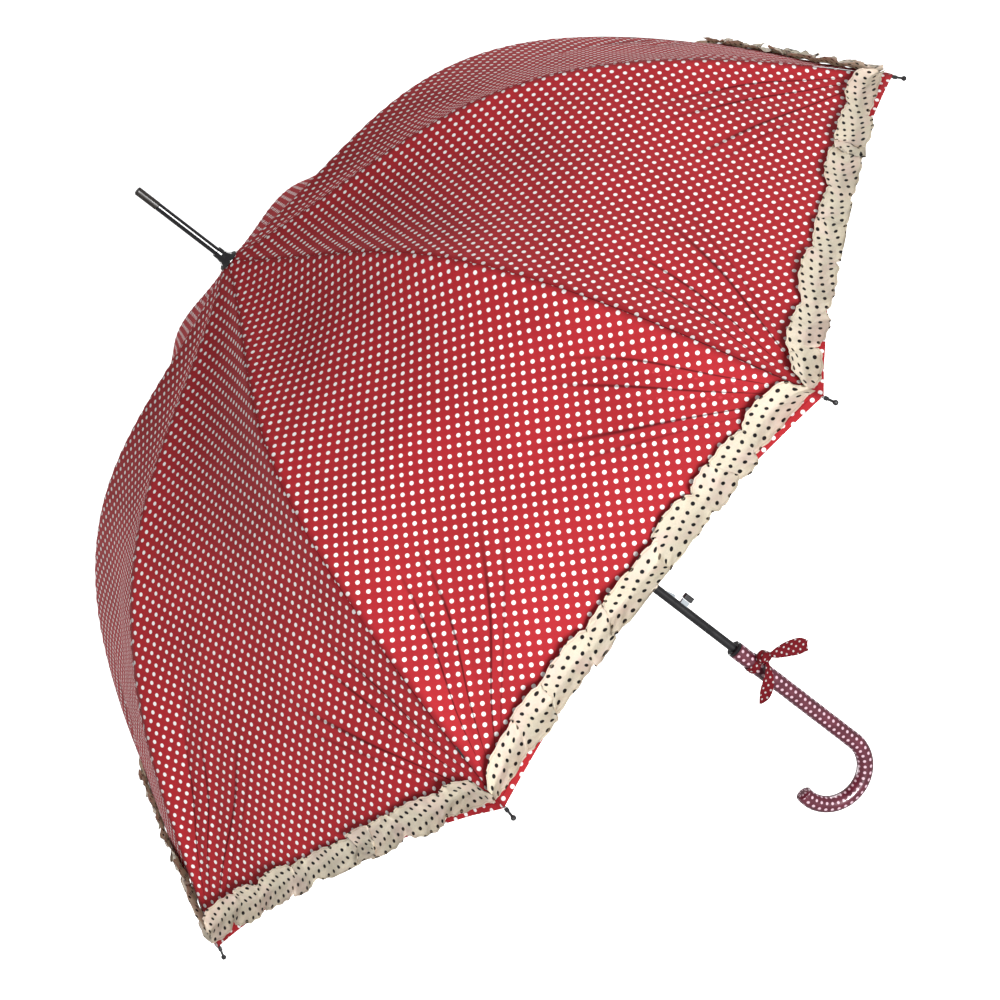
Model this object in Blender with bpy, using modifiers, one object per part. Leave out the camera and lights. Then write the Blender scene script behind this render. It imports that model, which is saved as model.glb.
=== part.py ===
"""A children's stick umbrella with a frilled dome canopy, push button and crook handle.

Metres, +Z up. The shaft lies on the Z axis with the ferrule at the top. The origin is in the
middle of the handle's straight grip. The crook turns towards -X, and the push button and the
two spring catches are on +X. The canopy is open.
"""

import math

import bmesh
import bpy
from mathutils import Matrix, Vector

MM = 0.001
GAP = 0.3 * MM  # left between pieces that touch

# The canopy, measured down from its crown
RIB_COUNT = 8
FIRST_RIB = math.radians(22.5)
RIB_STEP = math.tau / RIB_COUNT
CROWN_Z = 0.650
TIP_RADIUS = 0.465
DOME_HEIGHT = 0.2822
CROWN_RADIUS = 0.008
CROWN_SLOPE = math.radians(15.05)
CROWN_PULL = 0.1943
RIM_SLOPE = math.radians(56.72)
RIM_PULL = 0.3269
FABRIC = 0.8 * MM
SEAM_GAP = 0.55 * MM  # from each rib's plane to the edge of the gore beside it
GORE_SAG = 0.012  # the middle of a gore lies this far inside the straight line between its ribs
HEM_RISE = 0.016  # share of the rib's curve that the hem rises between two tips

# The frill lies on the canopy just above the hem
FRILL_TOP = 0.963  # shares of the rib's curve
FRILL_BOTTOM = 0.992
FRILL_LIFT = 0.6 * MM
FRILL_THICK = 2.4 * MM
FRILL_STEPS = 6  # stations to a gore

# The ribs: a steel strip on the notch wire, then a springy rod
RIB_DEPTH = 3.2 * MM  # rib centre line under the canopy's outer face
RIB_HALF_HEIGHT = 1.1 * MM
RIB_THICK = 1.4 * MM
HINGE_RADIUS = 9.5 * MM
HINGE_DROP = 5.8 * MM
EYE_RADIUS = 1.6 * MM
EYE_HOLE = 0.85 * MM
RIB_JOINS_CURVE = 0.085  # share of the rib's curve where the strip has left the notch
LUG_AT = 0.466  # share of the rib's curve
LUG_DROP = 4.0 * MM
LUG_RADIUS = 1.5 * MM
PIN_RADIUS = 0.55 * MM
PIN_LENGTH = 3.4 * MM
FLEX_AT = 0.488
FLEX_CLEARANCE = 0.9 * MM
ROD_RADIUS = 1.1 * MM

# The stretchers, which are as long as the rib from its hinge to its lug
STRETCHER_WIDTH = 2.8 * MM
STRETCHER_HALF_HEIGHT = 1.1 * MM
STRETCHER_INNER_END = 1.3 * MM
FORK_SLOT = 1.9 * MM
FORK_LENGTH = 9.0 * MM
FORK_HOLE = 0.8 * MM

# The shaft, ferrule and crown pieces
SHAFT_RADIUS = 4.0 * MM
SHAFT_BORE = 3.5 * MM
SHAFT_BOTTOM = -0.602
SPIKE_RADIUS = 3.3 * MM
SPIKE_TOP = 0.0725
END_CAP_RADIUS = 3.5 * MM
END_CAP_TOP = 0.093
NOTCH_RADIUS = 11.8 * MM
NOTCH_TOP = -2.4 * MM
NOTCH_BOTTOM = -9.8 * MM
NOTCH_SLOT = 2.2 * MM
WIRE_RADIUS = 0.5 * MM

# The runner and its catches
RUNNER_BORE = 4.3 * MM
RUNNER_RADIUS = 12.0 * MM
RUNNER_HALF_HEIGHT = 5.0 * MM
RUNNER_SLOT = 3.2 * MM
SLOT_FLOOR = 7.2 * MM
SLEEVE_RADIUS = 6.9 * MM
SLEEVE_FLANGE = 7.6 * MM
SLEEVE_LENGTH = 38.0 * MM
KEYWAY_DEPTH = 6.4 * MM
KEYWAY_WIDTH = 2.4 * MM
CATCH_THICK = 1.8 * MM
CATCH_HEIGHT = 11.0 * MM
CATCH_REACH = 5.9 * MM
BOTTOM_CATCH_Z = -0.490

# The push button
BUTTON_Z = -0.507
STEM_HEIGHT = 8.0 * MM
STEM_WIDTH = 2.8 * MM
CAP_LOW = 8.0 * MM
CAP_HIGH = 13.4 * MM
CAP_HEIGHT = 9.4 * MM
CAP_WIDTH = 5.6 * MM

# The handle
HANDLE_RADIUS = 7.0 * MM
HANDLE_TOP = -0.5752
STRAIGHT_END = -0.7275
CROOK_RADIUS = 0.0335
CROOK_TURN = math.radians(192)
SOCKET_RADIUS = 4.3 * MM
COLLAR_HEIGHT = 3.2 * MM
COLLAR_RADIUS = 7.5 * MM

# The bow tied round the handle
BOW_Z = -0.5975
BAND_RADIUS = 8.7 * MM
BAND_BORE = 7.35 * MM
BAND_HEIGHT = 8.0 * MM
KNOT_SIZE = Vector((7.0, 7.5, 6.5)) * MM
KNOT_ANGLE = math.radians(-40)
KNOT_OUT = 12.5 * MM
TAIL_THICK = 1.2 * MM

COLLECTION = "childrens_umbrella"


# The canopy's shape


def bezier(points, t):
    """A point of the cubic curve with these four control points."""
    a, b, c, d = points
    s = 1 - t
    return a * s**3 + b * (3 * s * s * t) + c * (3 * s * t * t) + d * t**3


def rib_curve(t):
    """The canopy's outer face along a rib, as (distance from the axis, height above the crown)."""
    start = Vector((CROWN_RADIUS, 0))
    end = Vector((TIP_RADIUS, -DOME_HEIGHT))
    leave = Vector((math.cos(CROWN_SLOPE), -math.sin(CROWN_SLOPE))) * CROWN_PULL
    arrive = Vector((math.cos(RIM_SLOPE), -math.sin(RIM_SLOPE))) * RIM_PULL
    return bezier((start, start + leave, end - arrive, end), t)


def along(t):
    """The unit direction of the rib's curve, outwards and down."""
    step = 1e-4
    return (rib_curve(min(t + step, 1)) - rib_curve(max(t - step, 0))).normalized()


def inward(t):
    """The unit normal of the rib's curve, pointing under the canopy."""
    direction = along(t)
    return Vector((direction.y, -direction.x))


def rib_centre(t):
    return rib_curve(t) + inward(t) * RIB_DEPTH


def gore_point(t, across, middle):
    """A point of a gore's outer face. across runs from 0 to 1 between the two ribs."""
    half = RIB_STEP / 2
    profile = rib_curve(t)
    side = profile.x * math.sin(half) * (2 * across - 1)
    bow = 4 * across * (1 - across)
    sink = inward(t) * GORE_SAG * bow * math.sin(math.pi * t)
    out = profile.x * math.cos(half) + sink.x
    point = Vector((out, side, profile.y + sink.y + CROWN_Z))
    return Matrix.Rotation(middle, 3, "Z") @ point


def hem_at(across):
    """The share of the rib's curve at which the hem lies."""
    return 1 - HEM_RISE * 4 * across * (1 - across)


HINGE = Vector((HINGE_RADIUS, -HINGE_DROP))
LUG_PIN = rib_centre(LUG_AT) + inward(LUG_AT) * LUG_DROP
RUNNER_PIN = Vector((HINGE_RADIUS, 2 * LUG_PIN.y - HINGE.y))
FLEX = rib_centre(FLEX_AT)


# Building blocks


def start_scene():
    for item in list(bpy.data.objects):
        bpy.data.objects.remove(item, do_unlink=True)
    parts = bpy.data.collections.new(COLLECTION)
    cutters = bpy.data.collections.new("cutters")
    for collection in (parts, cutters):
        bpy.context.scene.collection.children.link(collection)
    return parts, cutters


PARTS, CUTTERS = start_scene()


def finish_of(name, colour, roughness, metallic=0.0, coat=0.0):
    material = bpy.data.materials.new(name)
    material.use_nodes = True
    shader = material.node_tree.nodes["Principled BSDF"]
    shader.inputs["Base Color"].default_value = (*colour, 1)
    shader.inputs["Roughness"].default_value = roughness
    shader.inputs["Metallic"].default_value = metallic
    shader.inputs["Coat Weight"].default_value = coat
    return material


BLACK_GLOSS = finish_of("black_gloss", (0.012, 0.012, 0.013), 0.18, coat=0.5)
BLACK_SATIN = finish_of("black_satin", (0.018, 0.018, 0.019), 0.35)
BLACK_STEEL = finish_of("black_steel", (0.03, 0.03, 0.032), 0.35, metallic=0.9)
STEEL = finish_of("bright_steel", (0.55, 0.56, 0.57), 0.3, metallic=1.0)
GREY_PLASTIC = finish_of("grey_plastic", (0.35, 0.36, 0.38), 0.4)
RED_FABRIC = finish_of("red_fabric", (0.48, 0.018, 0.035), 0.6)
CREAM_FABRIC = finish_of("cream_fabric", (0.82, 0.74, 0.58), 0.7)
HANDLE_COVER = finish_of("handle_cover", (0.36, 0.03, 0.06), 0.12, coat=1.0)


def add(name, mesh, material, collection=None):
    piece = bpy.data.objects.new(name, mesh)
    if material is not None and not mesh.materials:
        mesh.materials.append(material)
    (collection or PARTS).objects.link(piece)
    return piece


def smooth(mesh, angle=35):
    mesh.shade_smooth()
    mesh.set_sharp_from_angle(angle=math.radians(angle))


def mesh_from(piece):
    """The evaluated mesh of an object in its own space. The object is removed."""
    bpy.context.view_layer.update()
    graph = bpy.context.evaluated_depsgraph_get()
    mesh = bpy.data.meshes.new_from_object(piece.evaluated_get(graph))
    bpy.data.objects.remove(piece, do_unlink=True)
    work = bmesh.new()
    work.from_mesh(mesh)
    bmesh.ops.remove_doubles(work, verts=work.verts, dist=0.00001)
    bmesh.ops.recalc_face_normals(work, faces=work.faces)
    work.to_mesh(mesh)
    work.free()
    return mesh


def mesh_of_curve(curve, material):
    mesh = mesh_from(add("curve", curve, material))
    mesh.materials.clear()
    mesh.materials.append(material)
    return mesh


def tube_mesh(points, radius, material, resolution=2):
    curve = bpy.data.curves.new("path", "CURVE")
    curve.dimensions = "3D"
    curve.bevel_depth = radius
    curve.bevel_resolution = resolution
    curve.use_fill_caps = True
    spline = curve.splines.new("POLY")
    spline.points.add(len(points) - 1)
    for spot, point in zip(spline.points, points):
        spot.co = (*point, 1)
    return mesh_of_curve(curve, material)


def plate_mesh(outlines, thickness, material):
    """A flat plate in the XZ plane, from one outline and its holes."""
    curve = bpy.data.curves.new("outline", "CURVE")
    curve.dimensions = "2D"
    curve.fill_mode = "BOTH"
    curve.extrude = thickness / 2
    for outline in outlines:
        spline = curve.splines.new("POLY")
        spline.points.add(len(outline) - 1)
        for spot, point in zip(spline.points, outline):
            spot.co = (point[0], point[1], 0, 1)
        spline.use_cyclic_u = True
    mesh = mesh_of_curve(curve, material)
    mesh.transform(Matrix.Rotation(math.pi / 2, 4, "X"))
    return mesh


def circle(centre, radius, sides):
    turns = (math.tau * k / sides for k in range(sides))
    return [centre + Vector((math.cos(a), math.sin(a))) * radius for a in turns]


def arc(centre, radius, start, end, steps):
    """Points round centre, from angle start to angle end."""
    turns = (start + (end - start) * k / steps for k in range(steps + 1))
    return [centre + Vector((math.cos(a), math.sin(a))) * radius for a in turns]


def turned(name, profile, material, steps=24, closed=True, height=CROWN_Z):
    """A profile of (radius, height) points, outer side first and downwards, turned round Z."""
    mesh = bpy.data.meshes.new(name)
    edges = [(k, k + 1) for k in range(len(profile) - 1)]
    if closed:
        edges.append((len(profile) - 1, 0))
    mesh.from_pydata([(r, 0, z) for r, z in profile], edges, [])
    piece = add(name, mesh, material)
    piece.location.z = height
    screw = piece.modifiers.new("turn", "SCREW")
    screw.steps = steps
    screw.render_steps = steps
    screw.use_merge_vertices = True
    screw.merge_threshold = 0.00001
    screw.use_smooth_shade = False
    return piece


def box_mesh(low, high):
    low, high = Vector(low), Vector(high)
    work = bmesh.new()
    bmesh.ops.create_cube(work, size=1)
    mesh = bpy.data.meshes.new("box")
    work.to_mesh(mesh)
    work.free()
    size = Matrix.Diagonal((*(high - low), 1))
    mesh.transform(Matrix.Translation((low + high) / 2) @ size)
    return mesh


def cylinder_mesh(radius, length, sides=12):
    work = bmesh.new()
    bmesh.ops.create_cone(
        work, cap_ends=True, segments=sides, radius1=radius, radius2=radius, depth=length
    )
    mesh = bpy.data.meshes.new("cylinder")
    work.to_mesh(mesh)
    work.free()
    return mesh


def cutter(name, mesh):
    piece = add(name, mesh, None, CUTTERS)
    piece.hide_render = True
    piece.display_type = "WIRE"
    return piece


def boolean(piece, other, operation):
    modifier = piece.modifiers.new(operation.lower(), "BOOLEAN")
    modifier.object = other
    modifier.operation = operation
    modifier.solver = "EXACT"


def spin(angle):
    return Matrix.Rotation(angle, 4, "Z")


def rib_angle(index):
    return FIRST_RIB + RIB_STEP * index


def in_rib_plane(name, mesh, point, index):
    """A piece of one rib, with its origin on its pivot and its mesh made in the XZ plane."""
    piece = add(name, mesh, None)
    angle = rib_angle(index)
    spot = Vector((point.x, 0, point.y + CROWN_Z))
    piece.location = Matrix.Rotation(angle, 3, "Z") @ spot
    piece.rotation_euler.z = angle
    return piece


# Shaft, ferrule and crown


def top_catch_z():
    """Middle of the catch that holds the runner up, just under the open runner's sleeve."""
    sleeve_end = RUNNER_PIN.y - RUNNER_HALF_HEIGHT - GAP - SLEEVE_LENGTH
    return sleeve_end - GAP - CATCH_HEIGHT / 2


def shaft_tube():
    profile = [
        (SHAFT_RADIUS, 0),
        (SHAFT_RADIUS, SHAFT_BOTTOM),
        (SHAFT_BORE, SHAFT_BOTTOM),
        (SHAFT_BORE, 0),
    ]
    tube = turned("shaft_tube", profile, BLACK_SATIN)
    slots = (
        ("top_catch_slot", top_catch_z(), CATCH_HEIGHT, CATCH_THICK),
        ("bottom_catch_slot", BOTTOM_CATCH_Z, CATCH_HEIGHT, CATCH_THICK),
        ("button_slot", BUTTON_Z, STEM_HEIGHT, STEM_WIDTH),
    )
    for name, middle, height, width in slots:
        reach = Vector((0, width / 2 + GAP, height / 2 + GAP))
        centre = Vector((0, 0, CROWN_Z + middle))
        low = centre - reach + Vector((SHAFT_BORE / 2, 0, 0))
        high = centre + reach + Vector((SHAFT_RADIUS * 1.5, 0, 0))
        boolean(tube, cutter(name, box_mesh(low, high)), "DIFFERENCE")


def ferrule():
    plug = SHAFT_BORE - GAP
    profile = [
        (0, SPIKE_TOP),
        (SPIKE_RADIUS - GAP, SPIKE_TOP),
        (SPIKE_RADIUS, SPIKE_TOP - GAP),
        (SPIKE_RADIUS, GAP),
        (plug, GAP),
        (plug, -12 * MM),
        (0, -12 * MM),
    ]
    turned("ferrule", profile, BLACK_GLOSS, closed=False)
    cap = [
        (0, END_CAP_TOP),
        (END_CAP_RADIUS - 0.6 * MM, END_CAP_TOP),
        (END_CAP_RADIUS, END_CAP_TOP - 0.6 * MM),
        (END_CAP_RADIUS, SPIKE_TOP + GAP),
        (0, SPIKE_TOP + GAP),
    ]
    turned("ferrule_end_cap", cap, BLACK_SATIN, closed=False)


def crown_rosette():
    """The trumpet-shaped cover that presses the middle of the canopy down on the notch."""
    low = 0.6 * MM
    profile = [
        (4.5 * MM, 13 * MM),
        (4.6 * MM, 9 * MM),
        (5.3 * MM, 5.6 * MM),
        (6.8 * MM, 3.0 * MM),
        (9.4 * MM, 1.3 * MM),
        (9.4 * MM, low),
        (SPIKE_RADIUS + GAP, low),
        (SPIKE_RADIUS + GAP, 13 * MM),
    ]
    turned("crown_rosette", profile, BLACK_GLOSS)


def top_notch():
    inner = HINGE_RADIUS - 1.0 * MM
    outer = HINGE_RADIUS + 1.0 * MM
    roof = NOTCH_TOP - 1.6 * MM
    profile = [
        (NOTCH_RADIUS - 0.5 * MM, NOTCH_TOP),
        (NOTCH_RADIUS, NOTCH_TOP - 0.5 * MM),
        (NOTCH_RADIUS, NOTCH_BOTTOM),
        (outer, NOTCH_BOTTOM),
        (outer, roof),
        (inner, roof),
        (inner, NOTCH_BOTTOM),
        (SHAFT_RADIUS + GAP, NOTCH_BOTTOM),
        (SHAFT_RADIUS + GAP, NOTCH_TOP),
    ]
    notch = turned("top_notch", profile, BLACK_SATIN, steps=32)
    slot = Vector((NOTCH_RADIUS * 1.2, NOTCH_SLOT / 2, CROWN_Z + roof + 0.2 * MM))
    floor = Vector((SLOT_FLOOR, -NOTCH_SLOT / 2, CROWN_Z + NOTCH_BOTTOM - 1 * MM))
    for index in range(RIB_COUNT):
        mesh = box_mesh(floor, slot)
        mesh.transform(spin(rib_angle(index)))
        boolean(notch, cutter(f"notch_slot_{index + 1}", mesh), "DIFFERENCE")


def notch_wire():
    bpy.ops.mesh.primitive_torus_add(
        major_radius=HINGE_RADIUS,
        minor_radius=WIRE_RADIUS,
        major_segments=32,
        minor_segments=6,
        location=(0, 0, CROWN_Z - HINGE_DROP),
    )
    wire = bpy.context.object
    wire.name = "notch_wire"
    wire.data.materials.append(STEEL)
    for collection in list(wire.users_collection):
        collection.objects.unlink(wire)
    PARTS.objects.link(wire)


def opening_spring():
    turns, points_a_turn = 9, 10
    wire, radius = 0.45 * MM, 5.1 * MM
    top = NOTCH_BOTTOM - GAP - wire
    bottom = RUNNER_PIN.y + RUNNER_HALF_HEIGHT + GAP + wire
    count = turns * points_a_turn
    path = []
    for k in range(count + 1):
        angle = math.tau * k / points_a_turn
        height = CROWN_Z + top + (bottom - top) * k / count
        path.append((radius * math.cos(angle), radius * math.sin(angle), height))
    add("opening_spring", tube_mesh(path, wire, STEEL, resolution=1), None)


# Ribs, tips and stretchers


def rib_inner_mesh():
    """The steel strip from the notch wire past the lug, with its eye, lug and lug pin."""
    shares = [RIB_JOINS_CURVE + (LUG_AT - RIB_JOINS_CURVE) * k / 8 for k in range(9)]
    centres = [rib_centre(t) for t in shares]
    downs = [inward(t) for t in shares]
    end = FLEX - along(FLEX_AT) * FLEX_CLEARANCE
    first = (centres[0] - HINGE).normalized()
    leave = math.asin(RIB_HALF_HEIGHT / EYE_RADIUS)
    heading = math.atan2(first.y, first.x)
    eye = arc(HINGE, EYE_RADIUS, heading + leave, heading + math.tau - leave, 10)
    lower = [c + n * RIB_HALF_HEIGHT for c, n in zip(centres, downs)][:-1]
    upper = [c - n * RIB_HALF_HEIGHT for c, n in zip(centres, downs)]
    tau, down = along(LUG_AT), inward(LUG_AT)
    foot = rib_centre(LUG_AT) + down * RIB_HALF_HEIGHT
    back = math.atan2(-tau.y, -tau.x)
    lug = [foot - tau * LUG_RADIUS]
    lug += arc(LUG_PIN, LUG_RADIUS, back, back + math.pi, 6)
    lug += [foot + tau * LUG_RADIUS]
    tail = inward(FLEX_AT) * RIB_HALF_HEIGHT
    outline = eye + lower + lug + [end + tail, end - tail] + upper[::-1]
    hole = circle(HINGE, EYE_HOLE, 10)
    shapes = [[p - HINGE for p in shape] for shape in (outline, hole)]
    strip = add("strip", plate_mesh(shapes, RIB_THICK, STEEL), STEEL)
    pin = cylinder_mesh(PIN_RADIUS, PIN_LENGTH, 10)
    pin.transform(Matrix.Rotation(math.pi / 2, 4, "X"))
    offset = LUG_PIN - HINGE
    pin.transform(Matrix.Translation((offset.x, 0, offset.y)))
    pin_piece = cutter("lug_pin", pin)
    boolean(strip, pin_piece, "UNION")
    mesh = mesh_from(strip)
    bpy.data.objects.remove(pin_piece, do_unlink=True)
    mesh.name = "rib_inner"
    return mesh


def rib_outer_mesh():
    count = 10
    shares = [FLEX_AT + (1 - FLEX_AT) * k / count for k in range(count + 1)]
    path = [rib_centre(t) - FLEX for t in shares]
    mesh = tube_mesh([(p.x, 0, p.y) for p in path], ROD_RADIUS, BLACK_STEEL, resolution=1)
    mesh.name = "rib_outer"
    return mesh


def rib_tip_mesh():
    """The cap on the rod's end: collar, neck and ball, along +Z from the rod."""
    neck, ball = 1.0 * MM, 2.1 * MM
    centre = 9.0 * MM
    rounds = [math.radians(a) for a in (60, 30, 0, -30)]
    profile = [(0, centre + ball)]
    profile += [(ball * math.cos(a), centre + ball * math.sin(a)) for a in rounds]
    profile += [
        (neck, centre - 1.85 * MM),
        (neck, 3.6 * MM),
        (1.6 * MM, 3.2 * MM),
        (1.6 * MM, GAP),
        (0, GAP),
    ]
    mesh = mesh_from(turned("tip", profile, BLACK_STEEL, steps=10, closed=False, height=0))
    mesh.name = "rib_tip"
    return mesh


def stretcher_mesh():
    """The strut from the lug to the runner, forked where it straddles the lug."""
    inner = RUNNER_PIN - LUG_PIN
    heading = math.atan2(inner.y, inner.x)
    start, end = Vector((0, 0)), inner
    side = math.asin(STRETCHER_HALF_HEIGHT / LUG_RADIUS)
    outer_end = arc(start, LUG_RADIUS, heading + side, heading + math.tau - side, 8)
    narrow = math.asin(STRETCHER_HALF_HEIGHT / STRETCHER_INNER_END)
    turn = heading + math.pi
    inner_end = arc(end, STRETCHER_INNER_END, turn + narrow, turn + math.tau - narrow, 6)
    holes = [circle(start, FORK_HOLE, 10), circle(end, EYE_HOLE, 8)]
    mesh = plate_mesh([outer_end + inner_end, *holes], STRETCHER_WIDTH, STEEL)
    bar = add("bar", mesh, STEEL)
    slot = box_mesh(
        (-4 * MM, -FORK_SLOT / 2, -4 * MM), (FORK_LENGTH, FORK_SLOT / 2, 4 * MM)
    )
    slot.transform(Matrix.Rotation(-heading, 4, "Y"))
    slot_piece = cutter("fork_slot", slot)
    boolean(bar, slot_piece, "DIFFERENCE")
    mesh = mesh_from(bar)
    bpy.data.objects.remove(slot_piece, do_unlink=True)
    mesh.name = "stretcher"
    return mesh


def frame_of_ribs():
    inner, outer = rib_inner_mesh(), rib_outer_mesh()
    tip, strut = rib_tip_mesh(), stretcher_mesh()
    for mesh in (inner, outer, tip, strut):
        smooth(mesh)
    for index in range(RIB_COUNT):
        number = index + 1
        in_rib_plane(f"rib_{number}_inner", inner, HINGE, index)
        in_rib_plane(f"rib_{number}_outer", outer, FLEX, index)
        in_rib_plane(f"stretcher_{number}", strut, LUG_PIN, index)
        cap = in_rib_plane(f"rib_{number}_tip", tip, rib_centre(1), index)
        direction = along(1)
        lean = math.atan2(direction.x, direction.y)
        cap.rotation_euler = (0, lean, rib_angle(index))


# Canopy and frill


def gore(index):
    """One panel of the canopy, as a shell between two ribs with a scooped hem."""
    rows, columns = 17, 7
    middle = rib_angle(index) + RIB_STEP / 2
    points, faces = [], []
    for column in range(columns):
        share = column / (columns - 1)
        hem = hem_at(share)
        for row in range(rows):
            t = hem * row / (rows - 1)
            width = 2 * rib_curve(t).x * math.sin(RIB_STEP / 2)
            inset = SEAM_GAP / width
            across = inset + (1 - 2 * inset) * share
            points.append(gore_point(t, across, middle))
    for column in range(columns - 1):
        for row in range(rows - 1):
            k = column * rows + row
            faces.append((k, k + 1, k + rows + 1, k + rows))
    mesh = bpy.data.meshes.new(f"gore_{index + 1}")
    mesh.from_pydata(points, [], faces)
    smooth(mesh)
    panel = add(f"canopy_gore_{index + 1}", mesh, RED_FABRIC)
    shell = panel.modifiers.new("cloth", "SOLIDIFY")
    shell.thickness = FABRIC
    shell.offset = -1
    shell.use_even_offset = True


def frill():
    """The gathered strip round the canopy's edge, as one closed band."""
    stations = []
    for index in range(RIB_COUNT):
        middle = rib_angle(index) + RIB_STEP / 2
        for step in range(FRILL_STEPS):
            stations.append((middle, step / FRILL_STEPS))
    points, faces = [], []
    for middle, across in stations:
        seam = abs(2 * across - 1) ** 6
        lift = FRILL_LIFT * (1 + seam)
        for t, out in (
            (FRILL_TOP, lift),
            (FRILL_TOP, lift + FRILL_THICK),
            (FRILL_BOTTOM, lift + FRILL_THICK),
            (FRILL_BOTTOM, lift),
        ):
            away = -inward(t) * out
            spot = Matrix.Rotation(-middle, 3, "Z") @ gore_point(t, across, middle)
            angle = (across - 0.5) * RIB_STEP
            spot += Vector((away.x * math.cos(angle), away.x * math.sin(angle), away.y))
            points.append(Matrix.Rotation(middle, 3, "Z") @ spot)
    count = len(stations)
    for k in range(count):
        here, there = 4 * k, 4 * ((k + 1) % count)
        for corner in range(4):
            after = (corner + 1) % 4
            faces.append((here + corner, here + after, there + after, there + corner))
    mesh = bpy.data.meshes.new("frill")
    mesh.from_pydata(points, [], faces)
    work = bmesh.new()
    work.from_mesh(mesh)
    bmesh.ops.recalc_face_normals(work, faces=work.faces)
    work.to_mesh(mesh)
    work.free()
    add("frill", mesh, CREAM_FABRIC)


# Runner, catches and button


def runner():
    half = RUNNER_HALF_HEIGHT
    crown = [
        (RUNNER_RADIUS - 1 * MM, half),
        (RUNNER_RADIUS, half - 1 * MM),
        (RUNNER_RADIUS, 1 * MM - half),
        (RUNNER_RADIUS - 1 * MM, -half),
        (RUNNER_BORE, -half),
        (RUNNER_BORE, half),
    ]
    height = CROWN_Z + RUNNER_PIN.y
    piece = turned("runner_crown", crown, BLACK_SATIN, steps=32, height=height)
    for index in range(RIB_COUNT):
        low = (SLOT_FLOOR, -RUNNER_SLOT / 2, height - 2 * half)
        high = (RUNNER_RADIUS * 1.2, RUNNER_SLOT / 2, height + 2 * half)
        mesh = box_mesh(low, high)
        mesh.transform(spin(rib_angle(index)))
        boolean(piece, cutter(f"runner_slot_{index + 1}", mesh), "DIFFERENCE")
    sleeve = [
        (SLEEVE_RADIUS, 0),
        (SLEEVE_RADIUS, 4 * MM - SLEEVE_LENGTH),
        (SLEEVE_FLANGE, 3 * MM - SLEEVE_LENGTH),
        (SLEEVE_FLANGE, 0.5 * MM - SLEEVE_LENGTH),
        (SLEEVE_FLANGE - 0.5 * MM, -SLEEVE_LENGTH),
        (RUNNER_BORE, -SLEEVE_LENGTH),
        (RUNNER_BORE, 0),
    ]
    top = height - half - GAP
    tube = turned("runner_sleeve", sleeve, BLACK_SATIN, height=top)
    low = (0, -KEYWAY_WIDTH / 2, top - 2 * SLEEVE_LENGTH)
    high = (KEYWAY_DEPTH, KEYWAY_WIDTH / 2, height + 2 * half)
    keyway = cutter("keyway", box_mesh(low, high))
    boolean(piece, keyway, "DIFFERENCE")
    boolean(tube, keyway, "DIFFERENCE")


def catch(name, middle, ramp_on_top):
    """A sprung wedge in the shaft: a long ramp on one side and a square step on the other."""
    half = CATCH_HEIGHT / 2
    back, lip = -0.8 * MM, SHAFT_RADIUS - 0.4 * MM
    outline = [
        Vector((back, -half)),
        Vector((CATCH_REACH, -half)),
        Vector((CATCH_REACH, 1.5 * MM - half)),
        Vector((lip, half)),
        Vector((back, half)),
    ]
    if not ramp_on_top:
        outline = [Vector((p.x, -p.y)) for p in outline]
    piece = add(name, plate_mesh([outline], CATCH_THICK, GREY_PLASTIC), None)
    piece.location.z = CROWN_Z + middle


def button():
    centre = CROWN_Z + BUTTON_Z
    half_stem = Vector((0, STEM_WIDTH / 2, STEM_HEIGHT / 2))
    low = Vector((-0.3 * MM, 0, 0)) - half_stem
    high = Vector((CAP_LOW - GAP, 0, 0)) + half_stem
    stem = add("button_stem", box_mesh(low, high), GREY_PLASTIC)
    stem.location.z = centre
    low = (CAP_LOW, -CAP_WIDTH / 2, -CAP_HEIGHT / 2)
    high = (CAP_HIGH, CAP_WIDTH / 2, CAP_HEIGHT / 2)
    cap = add("button_cap", box_mesh(low, high), BLACK_SATIN)
    cap.location.z = centre
    edge = cap.modifiers.new("rounding", "BEVEL")
    edge.width = 1.0 * MM
    edge.segments = 2


# Handle and bow


def crook_path():
    """The handle's centre line, from its top end round the crook."""
    straight = [Vector((0, 0, HANDLE_TOP)), Vector((0, 0, STRAIGHT_END))]
    steps = 24
    bend = []
    for k in range(1, steps + 1):
        angle = CROOK_TURN * k / steps
        out = CROOK_RADIUS * (math.cos(angle) - 1)
        bend.append(Vector((out, 0, STRAIGHT_END - CROOK_RADIUS * math.sin(angle))))
    return [p + Vector((0, 0, CROWN_Z)) for p in straight + bend]


def handle():
    path = crook_path()
    crook = add("handle_crook", tube_mesh(path, HANDLE_RADIUS, HANDLE_COVER, 6), None)
    smooth(crook.data)
    depth = HANDLE_TOP - SHAFT_BOTTOM + 1.5 * MM
    hole = cylinder_mesh(SOCKET_RADIUS, 2 * depth, 24)
    hole.transform(Matrix.Translation((0, 0, CROWN_Z + HANDLE_TOP)))
    boolean(crook, cutter("shaft_socket", hole), "DIFFERENCE")
    collar = [
        (COLLAR_RADIUS - 0.7 * MM, COLLAR_HEIGHT),
        (COLLAR_RADIUS, COLLAR_HEIGHT - 0.7 * MM),
        (COLLAR_RADIUS, 0),
        (SOCKET_RADIUS, 0),
        (SOCKET_RADIUS, COLLAR_HEIGHT),
    ]
    turned("handle_collar", collar, BLACK_GLOSS, height=CROWN_Z + HANDLE_TOP + GAP)
    cap = [
        (0, 1.6 * MM),
        (3.4 * MM, 1.4 * MM),
        (5.6 * MM, 0.8 * MM),
        (6.6 * MM, 0),
        (0, 0),
    ]
    end_cap = turned("crook_end_cap", cap, HANDLE_COVER, steps=16, closed=False)
    direction = (path[-1] - path[-2]).normalized()
    end_cap.location = path[-1] + direction * GAP
    end_cap.rotation_euler = direction.to_track_quat("Z", "Y").to_euler()


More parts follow.
